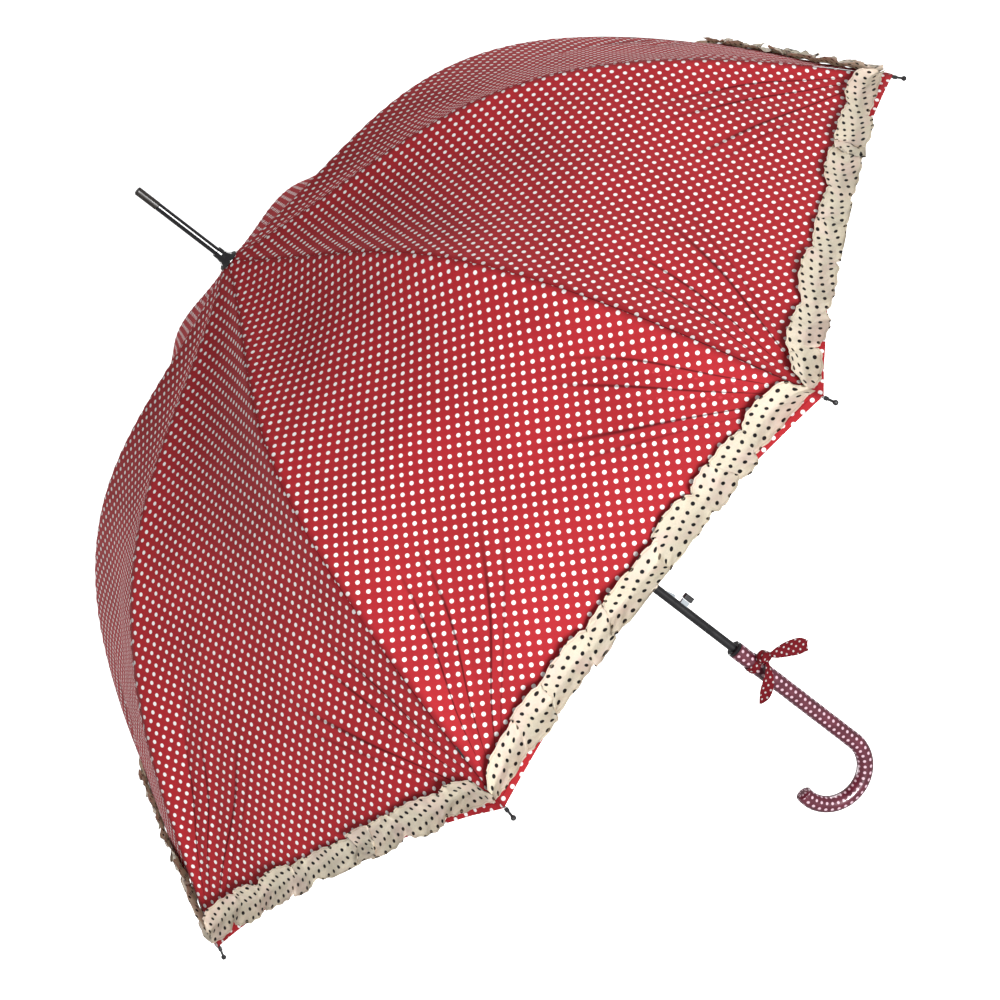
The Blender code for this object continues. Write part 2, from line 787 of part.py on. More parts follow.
def ribbon(name, path, widths, bend, material):
    """A flat strip along a path. bend is the direction that the strip's width follows."""
    points, faces = [], []
    for k, spot in enumerate(path):
        before, after = path[max(k - 1, 0)], path[min(k + 1, len(path) - 1)]
        ahead = (after - before).normalized()
        across = (bend - ahead * bend.dot(ahead)).normalized()
        up = ahead.cross(across) * TAIL_THICK / 2
        side = across * widths[k] / 2
        points += [spot - side - up, spot + side - up, spot + side + up, spot - side + up]
    for k in range(len(path) - 1):
        for corner in range(4):
            after = (corner + 1) % 4
            here = 4 * k
            faces.append((here + corner, here + after, here + 4 + after, here + 4 + corner))
    last = 4 * (len(path) - 1)
    faces += [(3, 2, 1, 0), (last, last + 1, last + 2, last + 3)]
    mesh = bpy.data.meshes.new(name)
    mesh.from_pydata(points, [], faces)
    work = bmesh.new()
    work.from_mesh(mesh)
    bmesh.ops.recalc_face_normals(work, faces=work.faces)
    work.to_mesh(mesh)
    work.free()
    return add(name, mesh, material)


def bow():
    height = CROWN_Z + BOW_Z
    half = BAND_HEIGHT / 2
    band = [
        (BAND_RADIUS, half - 1 * MM),
        (BAND_RADIUS, 1 * MM - half),
        (BAND_BORE, -half),
        (BAND_BORE, half),
    ]
    piece = turned("bow_knot", band, RED_FABRIC, height=height)
    out = Vector((math.cos(KNOT_ANGLE), math.sin(KNOT_ANGLE), 0))
    knot_at = out * KNOT_OUT + Vector((0, 0, height))
    work = bmesh.new()
    bmesh.ops.create_uvsphere(work, u_segments=14, v_segments=8, radius=1)
    knot = bpy.data.meshes.new("knot")
    work.to_mesh(knot)
    work.free()
    place = Matrix.Translation(knot_at) @ spin(KNOT_ANGLE)
    knot.transform(place @ Matrix.Diagonal((*KNOT_SIZE, 1)))
    boolean(piece, cutter("knot_ball", knot), "UNION")
    bore = cylinder_mesh(BAND_BORE, 4 * BAND_HEIGHT, 24)
    bore.transform(Matrix.Translation((0, 0, height)))
    boolean(piece, cutter("bow_bore", bore), "DIFFERENCE")

    bend = Vector((0, 0, 1))
    upper = [
        knot_at + Vector((6.2, -2.6, -3.0)) * MM,
        knot_at + Vector((11, -3.6, -6)) * MM,
        knot_at + Vector((19, -4.2, -11)) * MM,
        knot_at + Vector((27, -4.0, -18)) * MM,
        knot_at + Vector((33, -3.0, -26)) * MM,
    ]
    widths = [v * MM for v in (6, 11, 14, 15, 12)]
    ribbon("bow_tail_upper", upper, widths, bend, RED_FABRIC)
    lower = [
        knot_at + Vector((-3.5, -7.0, -5.0)) * MM,
        knot_at + Vector((-9, -10, -9)) * MM,
        knot_at + Vector((-17, -11, -14)) * MM,
        knot_at + Vector((-26, -10, -19)) * MM,
        knot_at + Vector((-34, -8, -22)) * MM,
    ]
    widths = [v * MM for v in (6, 9, 11, 12, 10)]
    ribbon("bow_tail_lower", lower, widths, bend, RED_FABRIC)


def main():
    shaft_tube()
    ferrule()
    crown_rosette()
    top_notch()
    notch_wire()
    opening_spring()
    frame_of_ribs()
    for index in range(RIB_COUNT):
        gore(index)
    frill()
    runner()
    catch("top_catch", top_catch_z(), ramp_on_top=False)
    catch("bottom_catch", BOTTOM_CATCH_Z, ramp_on_top=True)
    button()
    handle()
    bow()


main()
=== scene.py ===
"""The looks of the children's umbrella: cloth, frill, bow, handle and finishes round the CAD frame."""

import math

import bmesh
import bpy
import numpy as np
from mathutils import Matrix, Vector


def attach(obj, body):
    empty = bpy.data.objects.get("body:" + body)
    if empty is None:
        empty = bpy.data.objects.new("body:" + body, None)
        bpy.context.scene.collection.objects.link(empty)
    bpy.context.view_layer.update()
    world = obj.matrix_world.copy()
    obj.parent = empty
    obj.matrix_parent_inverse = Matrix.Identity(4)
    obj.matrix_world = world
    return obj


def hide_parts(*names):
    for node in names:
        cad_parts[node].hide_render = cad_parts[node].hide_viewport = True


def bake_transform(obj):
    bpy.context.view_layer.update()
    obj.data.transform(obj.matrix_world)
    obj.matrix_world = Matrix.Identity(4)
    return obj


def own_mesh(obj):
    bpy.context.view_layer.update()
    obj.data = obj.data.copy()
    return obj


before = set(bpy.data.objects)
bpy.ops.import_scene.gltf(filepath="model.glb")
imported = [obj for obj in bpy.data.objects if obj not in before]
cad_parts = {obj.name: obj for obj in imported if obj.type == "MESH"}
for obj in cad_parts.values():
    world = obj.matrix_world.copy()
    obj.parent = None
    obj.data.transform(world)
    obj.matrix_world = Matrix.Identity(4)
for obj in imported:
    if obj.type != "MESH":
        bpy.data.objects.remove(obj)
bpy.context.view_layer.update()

MM = 0.001

# The canopy's shape, as in the CAD
RIB_COUNT = 8
FIRST_RIB = math.radians(22.5)
RIB_STEP = math.tau / RIB_COUNT
HALF_STEP = RIB_STEP / 2
CROWN_Z = 0.650
TIP_RADIUS = 0.465
DOME_HEIGHT = 0.2822
CROWN_RADIUS = 0.008
CROWN_SLOPE = math.radians(15.05)
CROWN_PULL = 0.1943
RIM_SLOPE = math.radians(56.72)
RIM_PULL = 0.3269
GORE_SAG = 0.012
HEM_RISE = 0.016
FLEX_AT = 0.488  # share of a rib's curve at its bend

# The cloth
CLOTH = 0.35 * MM
HEM_WIDTH = 6 * MM
HEM_THICK = 1.0 * MM
GROOVE = 1.5 * MM  # the seams' depth
GROOVE_WIDTH = 2.0 * MM
PUCKER_LENGTH = 13 * MM  # of one pucker along a seam
PUCKER_DEPTH = 0.42 * MM
PUCKER_REACH = 9 * MM
# each tension fold's degrees from the seam, reach in metres and depth in mm
TENSION_FOLDS = ((6, 0.24, 2.2), (15, 0.30, 3.0), (26, 0.22, 2.4), (39, 0.13, 1.6))
FOLD_WIDTH = 5.0 * MM
WAVE_LENGTHS = (0.23, 0.13, 0.075)
WAVE_SHARE = 0.006  # height of a wave as a share of its length
FLUTTER_LENGTH = 41 * MM
FLUTTER_DEPTH = 0.8 * MM
INNER_ROWS = 70
OUTER_ROWS = 76
HALF_COLUMNS = 30
LAP_ROWS = 5  # rows of the upper panels that run on under the lower ones
LAP_EASE = 3  # rows over which the lap sinks in
LAP_DROP = 0.6 * MM
TAPE_HALF = 5.2 * MM  # half the width of the seam allowance under a rib
TAPE_SHARE = 0.30  # at most this share of the half gore
TAPE_SINK = 0.75 * MM  # under the cloth's outer face
TAPE_BEND = 9 * MM  # half the length that bends
FOLD_LEAN = math.radians(34)  # how far each half gore leans out from its rib when folded
DOT_PITCH = 7.35 * MM
DOT_RADIUS = 1.62 * MM

# The frill
FRILL_TOP = 0.963
FRILL_BOTTOM = 0.992
BUBBLES = 9  # puffs to a gore
FRILL_STEPS = 170  # columns to a gore
FRILL_ROWS = 14
TACK_LIFT = 1.0 * MM  # off the gore, along the tacked middle
EDGE_LIFT = 1.1 * MM
PUFF_LOW = 0.4 * MM
PUFF_HIGH = 2.4 * MM
CRUMPLE = 0.75 * MM
LEAST_LIFT = 0.8 * MM

# The handle
HANDLE_RADIUS = 7.0 * MM
WRAP_RADIUS = HANDLE_RADIUS + 0.7 * MM  # over the cloth and its clear film
HANDLE_TOP = CROWN_Z - 0.5752
STRAIGHT_END = CROWN_Z - 0.7275
CROOK_RADIUS = 0.0335
CROOK_TURN = math.radians(192)
END_BULGE = 1.9 * MM

# The bow
BOW_Z = CROWN_Z - 0.5975
BOW_CLOTH = 0.4 * MM
TAIL_ROWS = 46
TAIL_COLUMNS = 17
BAND_ROUND = 8  # mm, the radius at which the band's flat length is taken
KNOT_ROUND = 6  # mm, the same for the knot
KNOT_SIZE = np.array((7.0, 7.5, 6.5)) * MM
KNOT_ANGLE = math.radians(-40)
KNOT_OUT = 12.5 * MM
KNOT_AT = np.array((KNOT_OUT * math.cos(KNOT_ANGLE), KNOT_OUT * math.sin(KNOT_ANGLE), BOW_Z))

# The camera
CAMERA_AT = Vector((0.0194, -1.9260, 1.0931))
CAMERA_RIGHT = Vector((0.6116, -0.2771, -0.7411))
CAMERA_UP = Vector((0.7909, 0.2372, 0.5641))
CAMERA_LENS = 87.79

# The studio
FLOOR_Z = -0.75
FLOOR_RADIUS = 32
BACKDROP_RADIUS = 30
WORLD_STRENGTH = 0.36
MIDDLE = Vector((0, 0, 0.45))
# each light's name, place from the middle, size and watts
LIGHTS = (
    ("key", (0.32, -3.0, -0.30), 1.1, 110),
    ("back_left", (-2.2, 2.4, 0.9), 1.8, 45),
    ("back_right", (2.4, 2.0, 0.7), 1.8, 45),
)

# The ends of the ribs' curve and its two control points
CURVE_START = np.array((CROWN_RADIUS, 0.0))
CURVE_END = np.array((TIP_RADIUS, -DOME_HEIGHT))
CURVE_LEAVE = CURVE_START + CROWN_PULL * np.array((math.cos(CROWN_SLOPE), -math.sin(CROWN_SLOPE)))
CURVE_ARRIVE = CURVE_END - RIM_PULL * np.array((math.cos(RIM_SLOPE), -math.sin(RIM_SLOPE)))


# Shapes shared by the cloth pieces


def rib_curve(t):
    """(distance from the axis, height under the crown) along a rib, for an array of shares."""
    t = np.asarray(t, float)[..., None]
    s = 1 - t
    return (
        CURVE_START * s**3
        + CURVE_LEAVE * (3 * s * s * t)
        + CURVE_ARRIVE * (3 * s * t * t)
        + CURVE_END * t**3
    )


def inward(t):
    """Unit normals of the rib's curve, pointing under the canopy."""
    step = 1e-4
    along = rib_curve(np.asarray(t) + step) - rib_curve(np.asarray(t) - step)
    along /= np.linalg.norm(along, axis=-1, keepdims=True)
    return np.stack((along[..., 1], -along[..., 0]), -1)


ARC_SHARES = np.linspace(0, 1.05, 1051)


def middle_arc():
    """Length along a gore's middle line at ARC_SHARES, on the flat cloth."""
    points = rib_curve(ARC_SHARES) * (math.cos(HALF_STEP), 1)
    steps = np.linalg.norm(np.diff(points, axis=0), axis=1)
    return np.concatenate(((0,), np.cumsum(steps)))


MIDDLE_ARC = middle_arc()


def flat_y(t):
    return np.interp(t, ARC_SHARES, MIDDLE_ARC)


def gore_middle(index):
    return FIRST_RIB + RIB_STEP * (index + 0.5)


def half_width(t):
    return rib_curve(t)[..., 0] * math.sin(HALF_STEP)


def hem_at(c):
    return 1 - HEM_RISE * (1 - c * c)


def smoothstep(x):
    x = np.clip(x, 0, 1)
    return x * x * (3 - 2 * x)


def rotated(points, angle):
    c, s = math.cos(angle), math.sin(angle)
    return points @ np.array(((c, s, 0), (-s, c, 0), (0, 0, 1)))


def gore_surface(t, c, sink, middle):
    """Points of a gore. c runs from -1 at its first rib to 1 at its second. sink is inward."""
    profile = rib_curve(t)
    normal = inward(t)
    depth = GORE_SAG * (1 - c * c) * np.sin(math.pi * np.clip(t, 0, 1)) + sink
    out = profile[..., 0] * math.cos(HALF_STEP) + normal[..., 0] * depth
    side = profile[..., 0] * math.sin(HALF_STEP) * c
    up = profile[..., 1] + normal[..., 1] * depth + CROWN_Z
    return rotated(np.stack((out, side, up), -1), middle)


def normals_of(points):
    """Unit normals of a grid of points: its row steps crossed with its column steps."""
    rows = np.gradient(points, axis=0)
    columns = np.gradient(points, axis=1)
    normals = np.cross(rows, columns)
    return normals / np.maximum(np.linalg.norm(normals, axis=-1, keepdims=True), 1e-12)


def uv_layer(mesh, name, values, loops):
    layer = mesh.uv_layers.new(name=name)
    layer.data.foreach_set("uv", values[loops].astype(np.float32).ravel())


def shell(name, points, normals, uvs, edges, thickness, materials):
    """A closed sheet of cloth from a grid of points on its outer face.

    uvs are the flat cloth's metres, and edges the distances from its seam and its hem.
    """
    rows, columns = points.shape[:2]
    inner = points - normals * thickness[..., None]
    vertices = np.concatenate((points.reshape(-1, 3), inner.reshape(-1, 3)))
    count = rows * columns
    index = np.arange(count).reshape(rows, columns)
    quads = np.stack((index[:-1, :-1], index[1:, :-1], index[1:, 1:], index[:-1, 1:]), -1)
    outer = quads.reshape(-1, 4)
    back = outer[:, ::-1] + count
    ring = np.concatenate(
        (index[0, :-1], index[:-1, -1], index[-1, :0:-1], index[:0:-1, 0])
    )
    after = np.roll(ring, -1)
    rim = np.stack((ring, after, after + count, ring + count), -1)
    faces = np.concatenate((outer, back, rim))
    mesh = bpy.data.meshes.new(name)
    mesh.from_pydata(vertices.tolist(), [], faces.tolist())
    loops = np.empty(len(mesh.loops), np.int32)
    mesh.loops.foreach_get("vertex_index", loops)
    uv_layer(mesh, "cloth", np.tile(uvs.reshape(-1, 2), (2, 1)), loops)
    uv_layer(mesh, "edges", np.tile(edges.reshape(-1, 2), (2, 1)), loops)
    for material in materials:
        mesh.materials.append(material)
    slots = np.zeros(len(faces), np.int32)
    slots[len(outer) : len(outer) + len(back)] = 1
    mesh.polygons.foreach_set("material_index", slots)
    mesh.shade_smooth()
    mesh.update()
    directions = np.concatenate((normals.reshape(-1, 3), -normals.reshape(-1, 3)))
    mesh.normals_split_custom_set(directions[loops].tolist())
    piece = bpy.data.objects.new(name, mesh)
    bpy.context.scene.collection.objects.link(piece)
    return piece


# Materials


def new_material(name):
    material = bpy.data.materials.new(name)
    material.use_nodes = True
    tree = material.node_tree
    return material, tree, tree.nodes["Principled BSDF"]


def node(tree, kind, **settings):
    made = tree.nodes.new(kind)
    for key, value in settings.items():
        setattr(made, key, value)
    return made


def math_node(tree, operation, a, b=None):
    made = node(tree, "ShaderNodeMath", operation=operation)
    for socket, value in zip(made.inputs, (a, b)):
        if value is None:
            continue
        if isinstance(value, (int, float)):
            socket.default_value = value
        else:
            tree.links.new(value, socket)
    return made.outputs[0]


def noise(tree, vector, scale, detail=2.0, roughness=0.5):
    made = node(tree, "ShaderNodeTexNoise")
    made.inputs["Scale"].default_value = scale
    made.inputs["Detail"].default_value = detail
    made.inputs["Roughness"].default_value = roughness
    tree.links.new(vector, made.inputs["Vector"])
    return made.outputs["Fac"]


def mapped(tree, value, low, high, to_low=0.0, to_high=1.0):
    made = node(tree, "ShaderNodeMapRange", interpolation_type="SMOOTHSTEP")
    tree.links.new(value, made.inputs["Value"])
    made.inputs["From Min"].default_value = low
    made.inputs["From Max"].default_value = high
    made.inputs["To Min"].default_value = to_low
    made.inputs["To Max"].default_value = to_high
    return made.outputs["Result"]


def mixed(tree, share, a, b, blend_type="MIX"):
    made = node(tree, "ShaderNodeMix", data_type="RGBA", blend_type=blend_type)
    for socket, value in ((made.inputs[0], share), (made.inputs[6], a), (made.inputs[7], b)):
        if isinstance(value, (int, float)):
            socket.default_value = value
        elif isinstance(value, tuple):
            socket.default_value = (*value, 1)
        else:
            tree.links.new(value, socket)
    return made.outputs[2]


def dots(tree, vector, pitch, radius, angle, soft=0.18 * MM):
    """1 inside round dots on a square lattice, for a vector in metres."""
    turn = node(tree, "ShaderNodeMapping")
    turn.inputs["Rotation"].default_value = (0, 0, angle)
    turn.inputs["Scale"].default_value = (1 / pitch, 1 / pitch, 0)
    tree.links.new(vector, turn.inputs["Vector"])
    cell = node(tree, "ShaderNodeVectorMath", operation="FRACTION")
    tree.links.new(turn.outputs[0], cell.inputs[0])
    centred = node(tree, "ShaderNodeVectorMath", operation="SUBTRACT")
    tree.links.new(cell.outputs[0], centred.inputs[0])
    centred.inputs[1].default_value = (0.5, 0.5, 0)
    length = node(tree, "ShaderNodeVectorMath", operation="LENGTH")
    tree.links.new(centred.outputs[0], length.inputs[0])
    return mapped(
        tree, length.outputs["Value"], (radius - soft) / pitch, (radius + soft) / pitch, 1, 0
    )


def bump(tree, shader, height, strength, distance, name="Normal"):
    made = node(tree, "ShaderNodeBump")
    made.inputs["Strength"].default_value = strength
    made.inputs["Distance"].default_value = distance
    tree.links.new(height, made.inputs["Height"])
    tree.links.new(made.outputs[0], shader.inputs[name])


def multiply(tree, a, b):
    return math_node(tree, "MULTIPLY", a, b)


def weave(tree, vector, pitch):
    """The over and under of fine threads, 0 to 1."""
    heights = []
    for direction in ("X", "Y"):
        wave = node(tree, "ShaderNodeTexWave", bands_direction=direction)
        wave.inputs["Scale"].default_value = math.pi / (10 * pitch)
        wave.inputs["Distortion"].default_value = 0.4
        tree.links.new(vector, wave.inputs["Vector"])
        heights.append(wave.outputs["Fac"])
    return math_node(tree, "MAXIMUM", *heights)


def edge_distances(tree):
    """The distances from a cloth piece's seam and from its hem."""
    edges = node(tree, "ShaderNodeSeparateXYZ")
    tree.links.new(node(tree, "ShaderNodeUVMap", uv_map="edges").outputs[0], edges.inputs[0])
    return edges.outputs[0], edges.outputs[1]


def painted_crease_shade_mask(tree, flat):
    """Painted crease shade: sharp dark lines that fan out from the rib tip, as a mask."""
    from_seam, to_hem = edge_distances(tree)
    turn = math_node(tree, "ARCTAN2", from_seam, to_hem)
    square = math_node(
        tree, "ADD", multiply(tree, from_seam, from_seam), multiply(tree, to_hem, to_hem)
    )
    far = math_node(tree, "SQRT", square)
    drift = mapped(tree, noise(tree, flat, 5.0, 1.0), 0.0, 1.0, -0.5, 0.5)
    spread = node(tree, "ShaderNodeCombineXYZ")
    fan = math_node(tree, "ADD", multiply(tree, turn, 4.5), drift)
    tree.links.new(fan, spread.inputs[0])
    tree.links.new(multiply(tree, far, 2.0), spread.inputs[1])
    field = noise(tree, spread.outputs[0], 1.0, 0.0)
    off = math_node(tree, "ABSOLUTE", math_node(tree, "SUBTRACT", field, 0.5))
    ridge = mapped(tree, off, 0.003, 0.035, 1.0, 0.0)
    start = mapped(tree, far, 0.015, 0.05)
    finish = mapped(tree, far, 0.11, 0.18, 1.0, 0.0)
    inner = mapped(tree, turn, 0.06, 0.14)
    outer = mapped(tree, turn, 0.75, 1.0, 1.0, 0.0)
    limits = multiply(tree, multiply(tree, start, finish), multiply(tree, inner, outer))
    return multiply(tree, ridge, limits)


def seam_shade_and_stitches(tree, colour, shade_and_stitch, hem_line):
    """Paints shade along the seam, a dark line at it and a soft dark band beside it, stronger towards
    the hem, and draws the stitches that hold the hem.
    """
    from_seam, to_hem = edge_distances(tree)
    # painted shade: a soft dark band up to 7 mm from the seam and a dark line within 1 mm of it
    soft = mapped(tree, from_seam, 0.2 * MM, 7.0 * MM, 0.42, 0.0)
    seam_shade_line = mapped(tree, from_seam, 0.35 * MM, 1.0 * MM, 0.9, 0.0)
    strength = mapped(tree, to_hem, 0.10, 0.42, 1.0, 0.45)
    shade = multiply(tree, math_node(tree, "MAXIMUM", soft, seam_shade_line), strength)
    offset = math_node(tree, "ABSOLUTE", math_node(tree, "SUBTRACT", to_hem, hem_line))
    stitch = mapped(tree, offset, 0.15 * MM, 0.5 * MM, 0.45, 0.0)
    seam_shade_and_stitch_mask = math_node(tree, "MAXIMUM", shade, stitch)
    return mixed(tree, seam_shade_and_stitch_mask, colour, shade_and_stitch)


def cloth_material(
    name,
    ground,
    dot,
    pitch,
    radius,
    angle,
    rough,
    sheen,
    wrinkle,
    shade_and_stitch,
    hem_line,
    with_crease_shade=False,
    red_bounce=None,
):
    """Printed cloth with round dots, laid out in the cloth's own flat metres. It also gets painted
    shade along its seams, painted crease shade when asked, and painted pink light from the red canopy
    in random patches when a colour for it is given.
    """
    material, tree, shader = new_material(name)
    flat = node(tree, "ShaderNodeUVMap", uv_map="cloth").outputs[0]
    cloudy = noise(tree, flat, 14.0, 3.0)
    fine = noise(tree, flat, 900.0, 2.0)
    shade = mapped(tree, cloudy, 0.25, 0.75, 0.90, 1.06)
    fleck = mapped(tree, fine, 0.2, 0.8, 0.93, 1.06)
    tone = multiply(tree, shade, fleck)
    base = mixed(tree, 1.0, ground, tone, "MULTIPLY")
    # painted pink light from the red canopy, mixed into the cloth in random patches
    if red_bounce:
        red_bounce_patches = mapped(tree, noise(tree, flat, 42.0, 2.0), 0.42, 0.66, 0.0, 0.75)
        base = mixed(tree, red_bounce_patches, base, red_bounce)
        shader.inputs["Subsurface Weight"].default_value = 0.4
        shader.inputs["Subsurface Radius"].default_value = (1.0, 0.85, 0.7)
        shader.inputs["Subsurface Scale"].default_value = 3 * MM
    mask = dots(tree, flat, pitch, radius, angle)
    colour = seam_shade_and_stitches(tree, mixed(tree, mask, base, dot), shade_and_stitch, hem_line)
    # painted crease shade: dark lines fanning out from the rib tips
    if with_crease_shade:
        crease_shade = multiply(tree, painted_crease_shade_mask(tree, flat), 0.78)
        colour = mixed(tree, crease_shade, colour, shade_and_stitch)
    tree.links.new(colour, shader.inputs["Base Color"])
    rough_map = mapped(tree, fine, 0.2, 0.8, rough - 0.06, rough + 0.06)
    tree.links.new(rough_map, shader.inputs["Roughness"])
    shader.inputs["Sheen Weight"].default_value = sheen
    shader.inputs["Sheen Roughness"].default_value = 0.4
    shader.inputs["Specular IOR Level"].default_value = 0.12
    soft = noise(tree, flat, 95.0, 3.0, 0.6)
    height = multiply(tree, soft, wrinkle)
    threads = multiply(tree, weave(tree, flat, 0.42 * MM), 0.06)
    bump(tree, shader, math_node(tree, "ADD", height, threads), 0.6, 1.0 * MM)
    return material


def object_vector(tree):
    return node(tree, "ShaderNodeTexCoord").outputs["Object"]


def hard_material(name, colour, rough, coat=0.0):
    """Plastic or lacquer with a fine grain, uneven gloss and slight marks."""
    material, tree, shader = new_material(name)
    place = object_vector(tree)
    wear = noise(tree, place, 60.0, 4.0, 0.6)
    fine = noise(tree, place, 900.0, 2.0)
    tone = mapped(tree, wear, 0.3, 0.75, 0.88, 1.15)
    base = mixed(tree, 1.0, colour, tone, "MULTIPLY")
    tree.links.new(base, shader.inputs["Base Color"])
    gloss = mapped(tree, wear, 0.3, 0.75, rough * 0.8, min(rough * 1.35, 1))
    tree.links.new(gloss, shader.inputs["Roughness"])
    shader.inputs["Coat Weight"].default_value = coat
    shader.inputs["Coat Roughness"].default_value = 0.05
    bump(tree, shader, fine, 0.5, 0.02 * MM)
    return material


def brushed_material(name, colour, rough, stretch):
    """Metal with fine lines along the way it was drawn or rolled."""
    material, tree, shader = new_material(name)
    scaled = node(tree, "ShaderNodeMapping")
    scaled.inputs["Scale"].default_value = stretch
    tree.links.new(object_vector(tree), scaled.inputs["Vector"])
    lines = noise(tree, scaled.outputs[0], 400.0, 3.0, 0.6)
    tone = mapped(tree, lines, 0.3, 0.7, 0.82, 1.1)
    tree.links.new(mixed(tree, 1.0, colour, tone, "MULTIPLY"), shader.inputs["Base Color"])
    gloss = mapped(tree, lines, 0.3, 0.7, rough - 0.08, rough + 0.1)
    tree.links.new(gloss, shader.inputs["Roughness"])
    shader.inputs["Metallic"].default_value = 1.0
    bump(tree, shader, lines, 0.4, 0.02 * MM)
    return material


RED = (0.43, 0.024, 0.032)
RED_BACK = (0.52, 0.040, 0.055)
# painted shade for the red cloth's seams and creases and the bow; also the colour of the hem stitches
RED_SHADE_AND_STITCH = (0.05, 0.002, 0.004)
WHITE_DOT = (0.95, 0.93, 0.92)
WHITE_DOT_BACK = (0.66, 0.36, 0.36)
CREAM = (0.70, 0.605, 0.455)
# painted shade along the frill's folds; also the colour of its edge stitches
CREAM_SHADE_AND_STITCH = (0.40, 0.31, 0.20)
# painted pink light from the red canopy
CREAM_RED_BOUNCE = (0.74, 0.55, 0.46)
BLACK_DOT = (0.010, 0.009, 0.010)
BOW_RED = (0.24, 0.008, 0.017)
WRAP = (0.12, 0.016, 0.032)
WRAP_DOT = (0.80, 0.62, 0.66)
NO_LINE = 1.0  # a hem line this far off isn't drawn

MAT = {
    "red": cloth_material(
        "red_cloth", RED, WHITE_DOT, DOT_PITCH, DOT_RADIUS, math.pi / 4, 0.75, 0.0, 0.25,
        RED_SHADE_AND_STITCH, 5 * MM, with_crease_shade=True,
    ),
    "red_back": cloth_material(
        "red_cloth_back", RED_BACK, WHITE_DOT_BACK, DOT_PITCH, DOT_RADIUS, math.pi / 4, 0.75, 0.0,
        0.2, RED_SHADE_AND_STITCH, 5 * MM,
    ),
    "cream": cloth_material(
        "cream_cloth", CREAM, BLACK_DOT, 7.4 * MM, 1.5 * MM, math.radians(14), 0.7, 0.05, 1.6,
        CREAM_SHADE_AND_STITCH, 1.2 * MM, red_bounce=CREAM_RED_BOUNCE,
    ),
    "bow": cloth_material(
        "bow_cloth", BOW_RED, WHITE_DOT, 5.2 * MM, 0.95 * MM, math.radians(38), 0.7, 0.1, 0.6,
        RED_SHADE_AND_STITCH, NO_LINE,
    ),
}


# The canopy


def crease_depth(x, y, index):
    """Tension folds that run up into a gore from its two rib tips, as inward depth."""
    draw = np.random.default_rng(100 + index)
    tip_x, tip_y = float(half_width(1.0)), float(flat_y(1.0))
    edge = math.atan2(tip_x - float(half_width(0.97)), tip_y - float(flat_y(0.97)))
    depth = np.zeros_like(x)
    for side in (-1, 1):
        across = side * tip_x - x
        for degrees, reach, deep in TENSION_FOLDS:
            angle = edge + math.radians(degrees + draw.uniform(-2.5, 2.5))
            length = reach * draw.uniform(0.8, 1.15)
            strength = deep * MM * draw.uniform(0.7, 1.1)
            up, over = math.cos(angle), math.sin(angle) * side
            a = (tip_y - y) * up + across * over
            b = -(tip_y - y) * over * side + across * up * side
            b = b + 0.25 * a * a * draw.uniform(-1, 1)
            share = a / length
            reach_in = smoothstep(share / 0.25) * (1 - smoothstep((share - 0.45) / 0.55))
            width = FOLD_WIDTH + 0.03 * np.abs(a)
            depth += strength * reach_in * np.exp(-np.abs(b) / width)
    return depth


def cloth_depth(t, c, index):
    """Seams, puckers, folds and gentle waves of a gore's cloth, as inward depth."""
    draw = np.random.default_rng(index)
    x = half_width(t) * c
    y = flat_y(t)
    from_seam = half_width(t) * (1 - np.abs(c))
    depth = GROOVE * np.exp(-from_seam / GROOVE_WIDTH) * smoothstep(y / (20 * MM))
    side = np.sign(c) * 1.7
    wave = np.sin(math.tau * y / PUCKER_LENGTH + 2.2 * np.sin(y / (29 * MM) + side) + side)
    near = np.exp(-from_seam / PUCKER_REACH) * smoothstep(from_seam / (2.5 * MM))
    depth += PUCKER_DEPTH * wave * near * smoothstep(y / (40 * MM))
    depth += crease_depth(x, y, index)
    rippled = np.zeros_like(x)
    for length in WAVE_LENGTHS:
        heading = draw.uniform(0, math.pi)
        phase = draw.uniform(0, math.tau)
        along = x * math.cos(heading) + y * math.sin(heading)
        rippled += length * np.sin(math.tau * along / length + phase)
    depth += WAVE_SHARE * rippled * smoothstep(from_seam / (60 * MM))
    to_hem = (flat_y(hem_at(c)) - y) / (9 * MM)
    flutter = np.sin(math.tau * x / FLUTTER_LENGTH + index) * np.exp(-np.maximum(to_hem, 0) / 2)
    return depth + FLUTTER_DEPTH * flutter * smoothstep(from_seam / (30 * MM))


def gore_grid():
    """Shares t along the rib and c across the gore, for every row and column of the cloth."""
    spread = (np.arange(HALF_COLUMNS + 1) / HALF_COLUMNS) ** 1.6
    columns = np.concatenate((-1 + spread, (1 - spread)[-2::-1]))
    hem = hem_at(columns)
    first = np.linspace(0, FLEX_AT, INNER_ROWS + 1)[:, None] + 0 * columns
    share = np.linspace(0, 1, OUTER_ROWS + 1)[1:, None]
    last = FLEX_AT + (hem - FLEX_AT) * share
    shares = np.concatenate((first, last))
    return shares, np.broadcast_to(columns, shares.shape)


def rib_axes(angle):
    """The directions out from the shaft and round it, at an angle."""
    c, s = math.cos(angle), math.sin(angle)
    return np.array((c, s, 0)), np.array((-s, c, 0))


def fold_plane(index, side, start, end, lift=0.0):
    """The plane that a half gore flattens onto as the canopy closes, as (normal, point)."""
    radial, tangent = rib_axes(FIRST_RIB + RIB_STEP * index)
    shares = np.linspace(start, end, 40)
    profile = rib_curve(shares)
    chord = profile[-1] - profile[0]
    chord /= np.linalg.norm(chord)
    out = np.array((-chord[1], chord[0]))
    mean = profile[0] + out * np.mean((profile - profile[0]) @ out)
    away = radial * out[0] + np.array((0, 0, out[1]))
    normal = -math.sin(FOLD_LEAN) * away + math.cos(FOLD_LEAN) * tangent * side
    point = radial * mean[0] + np.array((0, 0, mean[1] + CROWN_Z))
    return normal, point - normal * lift


def fold_with(piece, body, plane):
    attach(piece, body)
    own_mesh(piece)


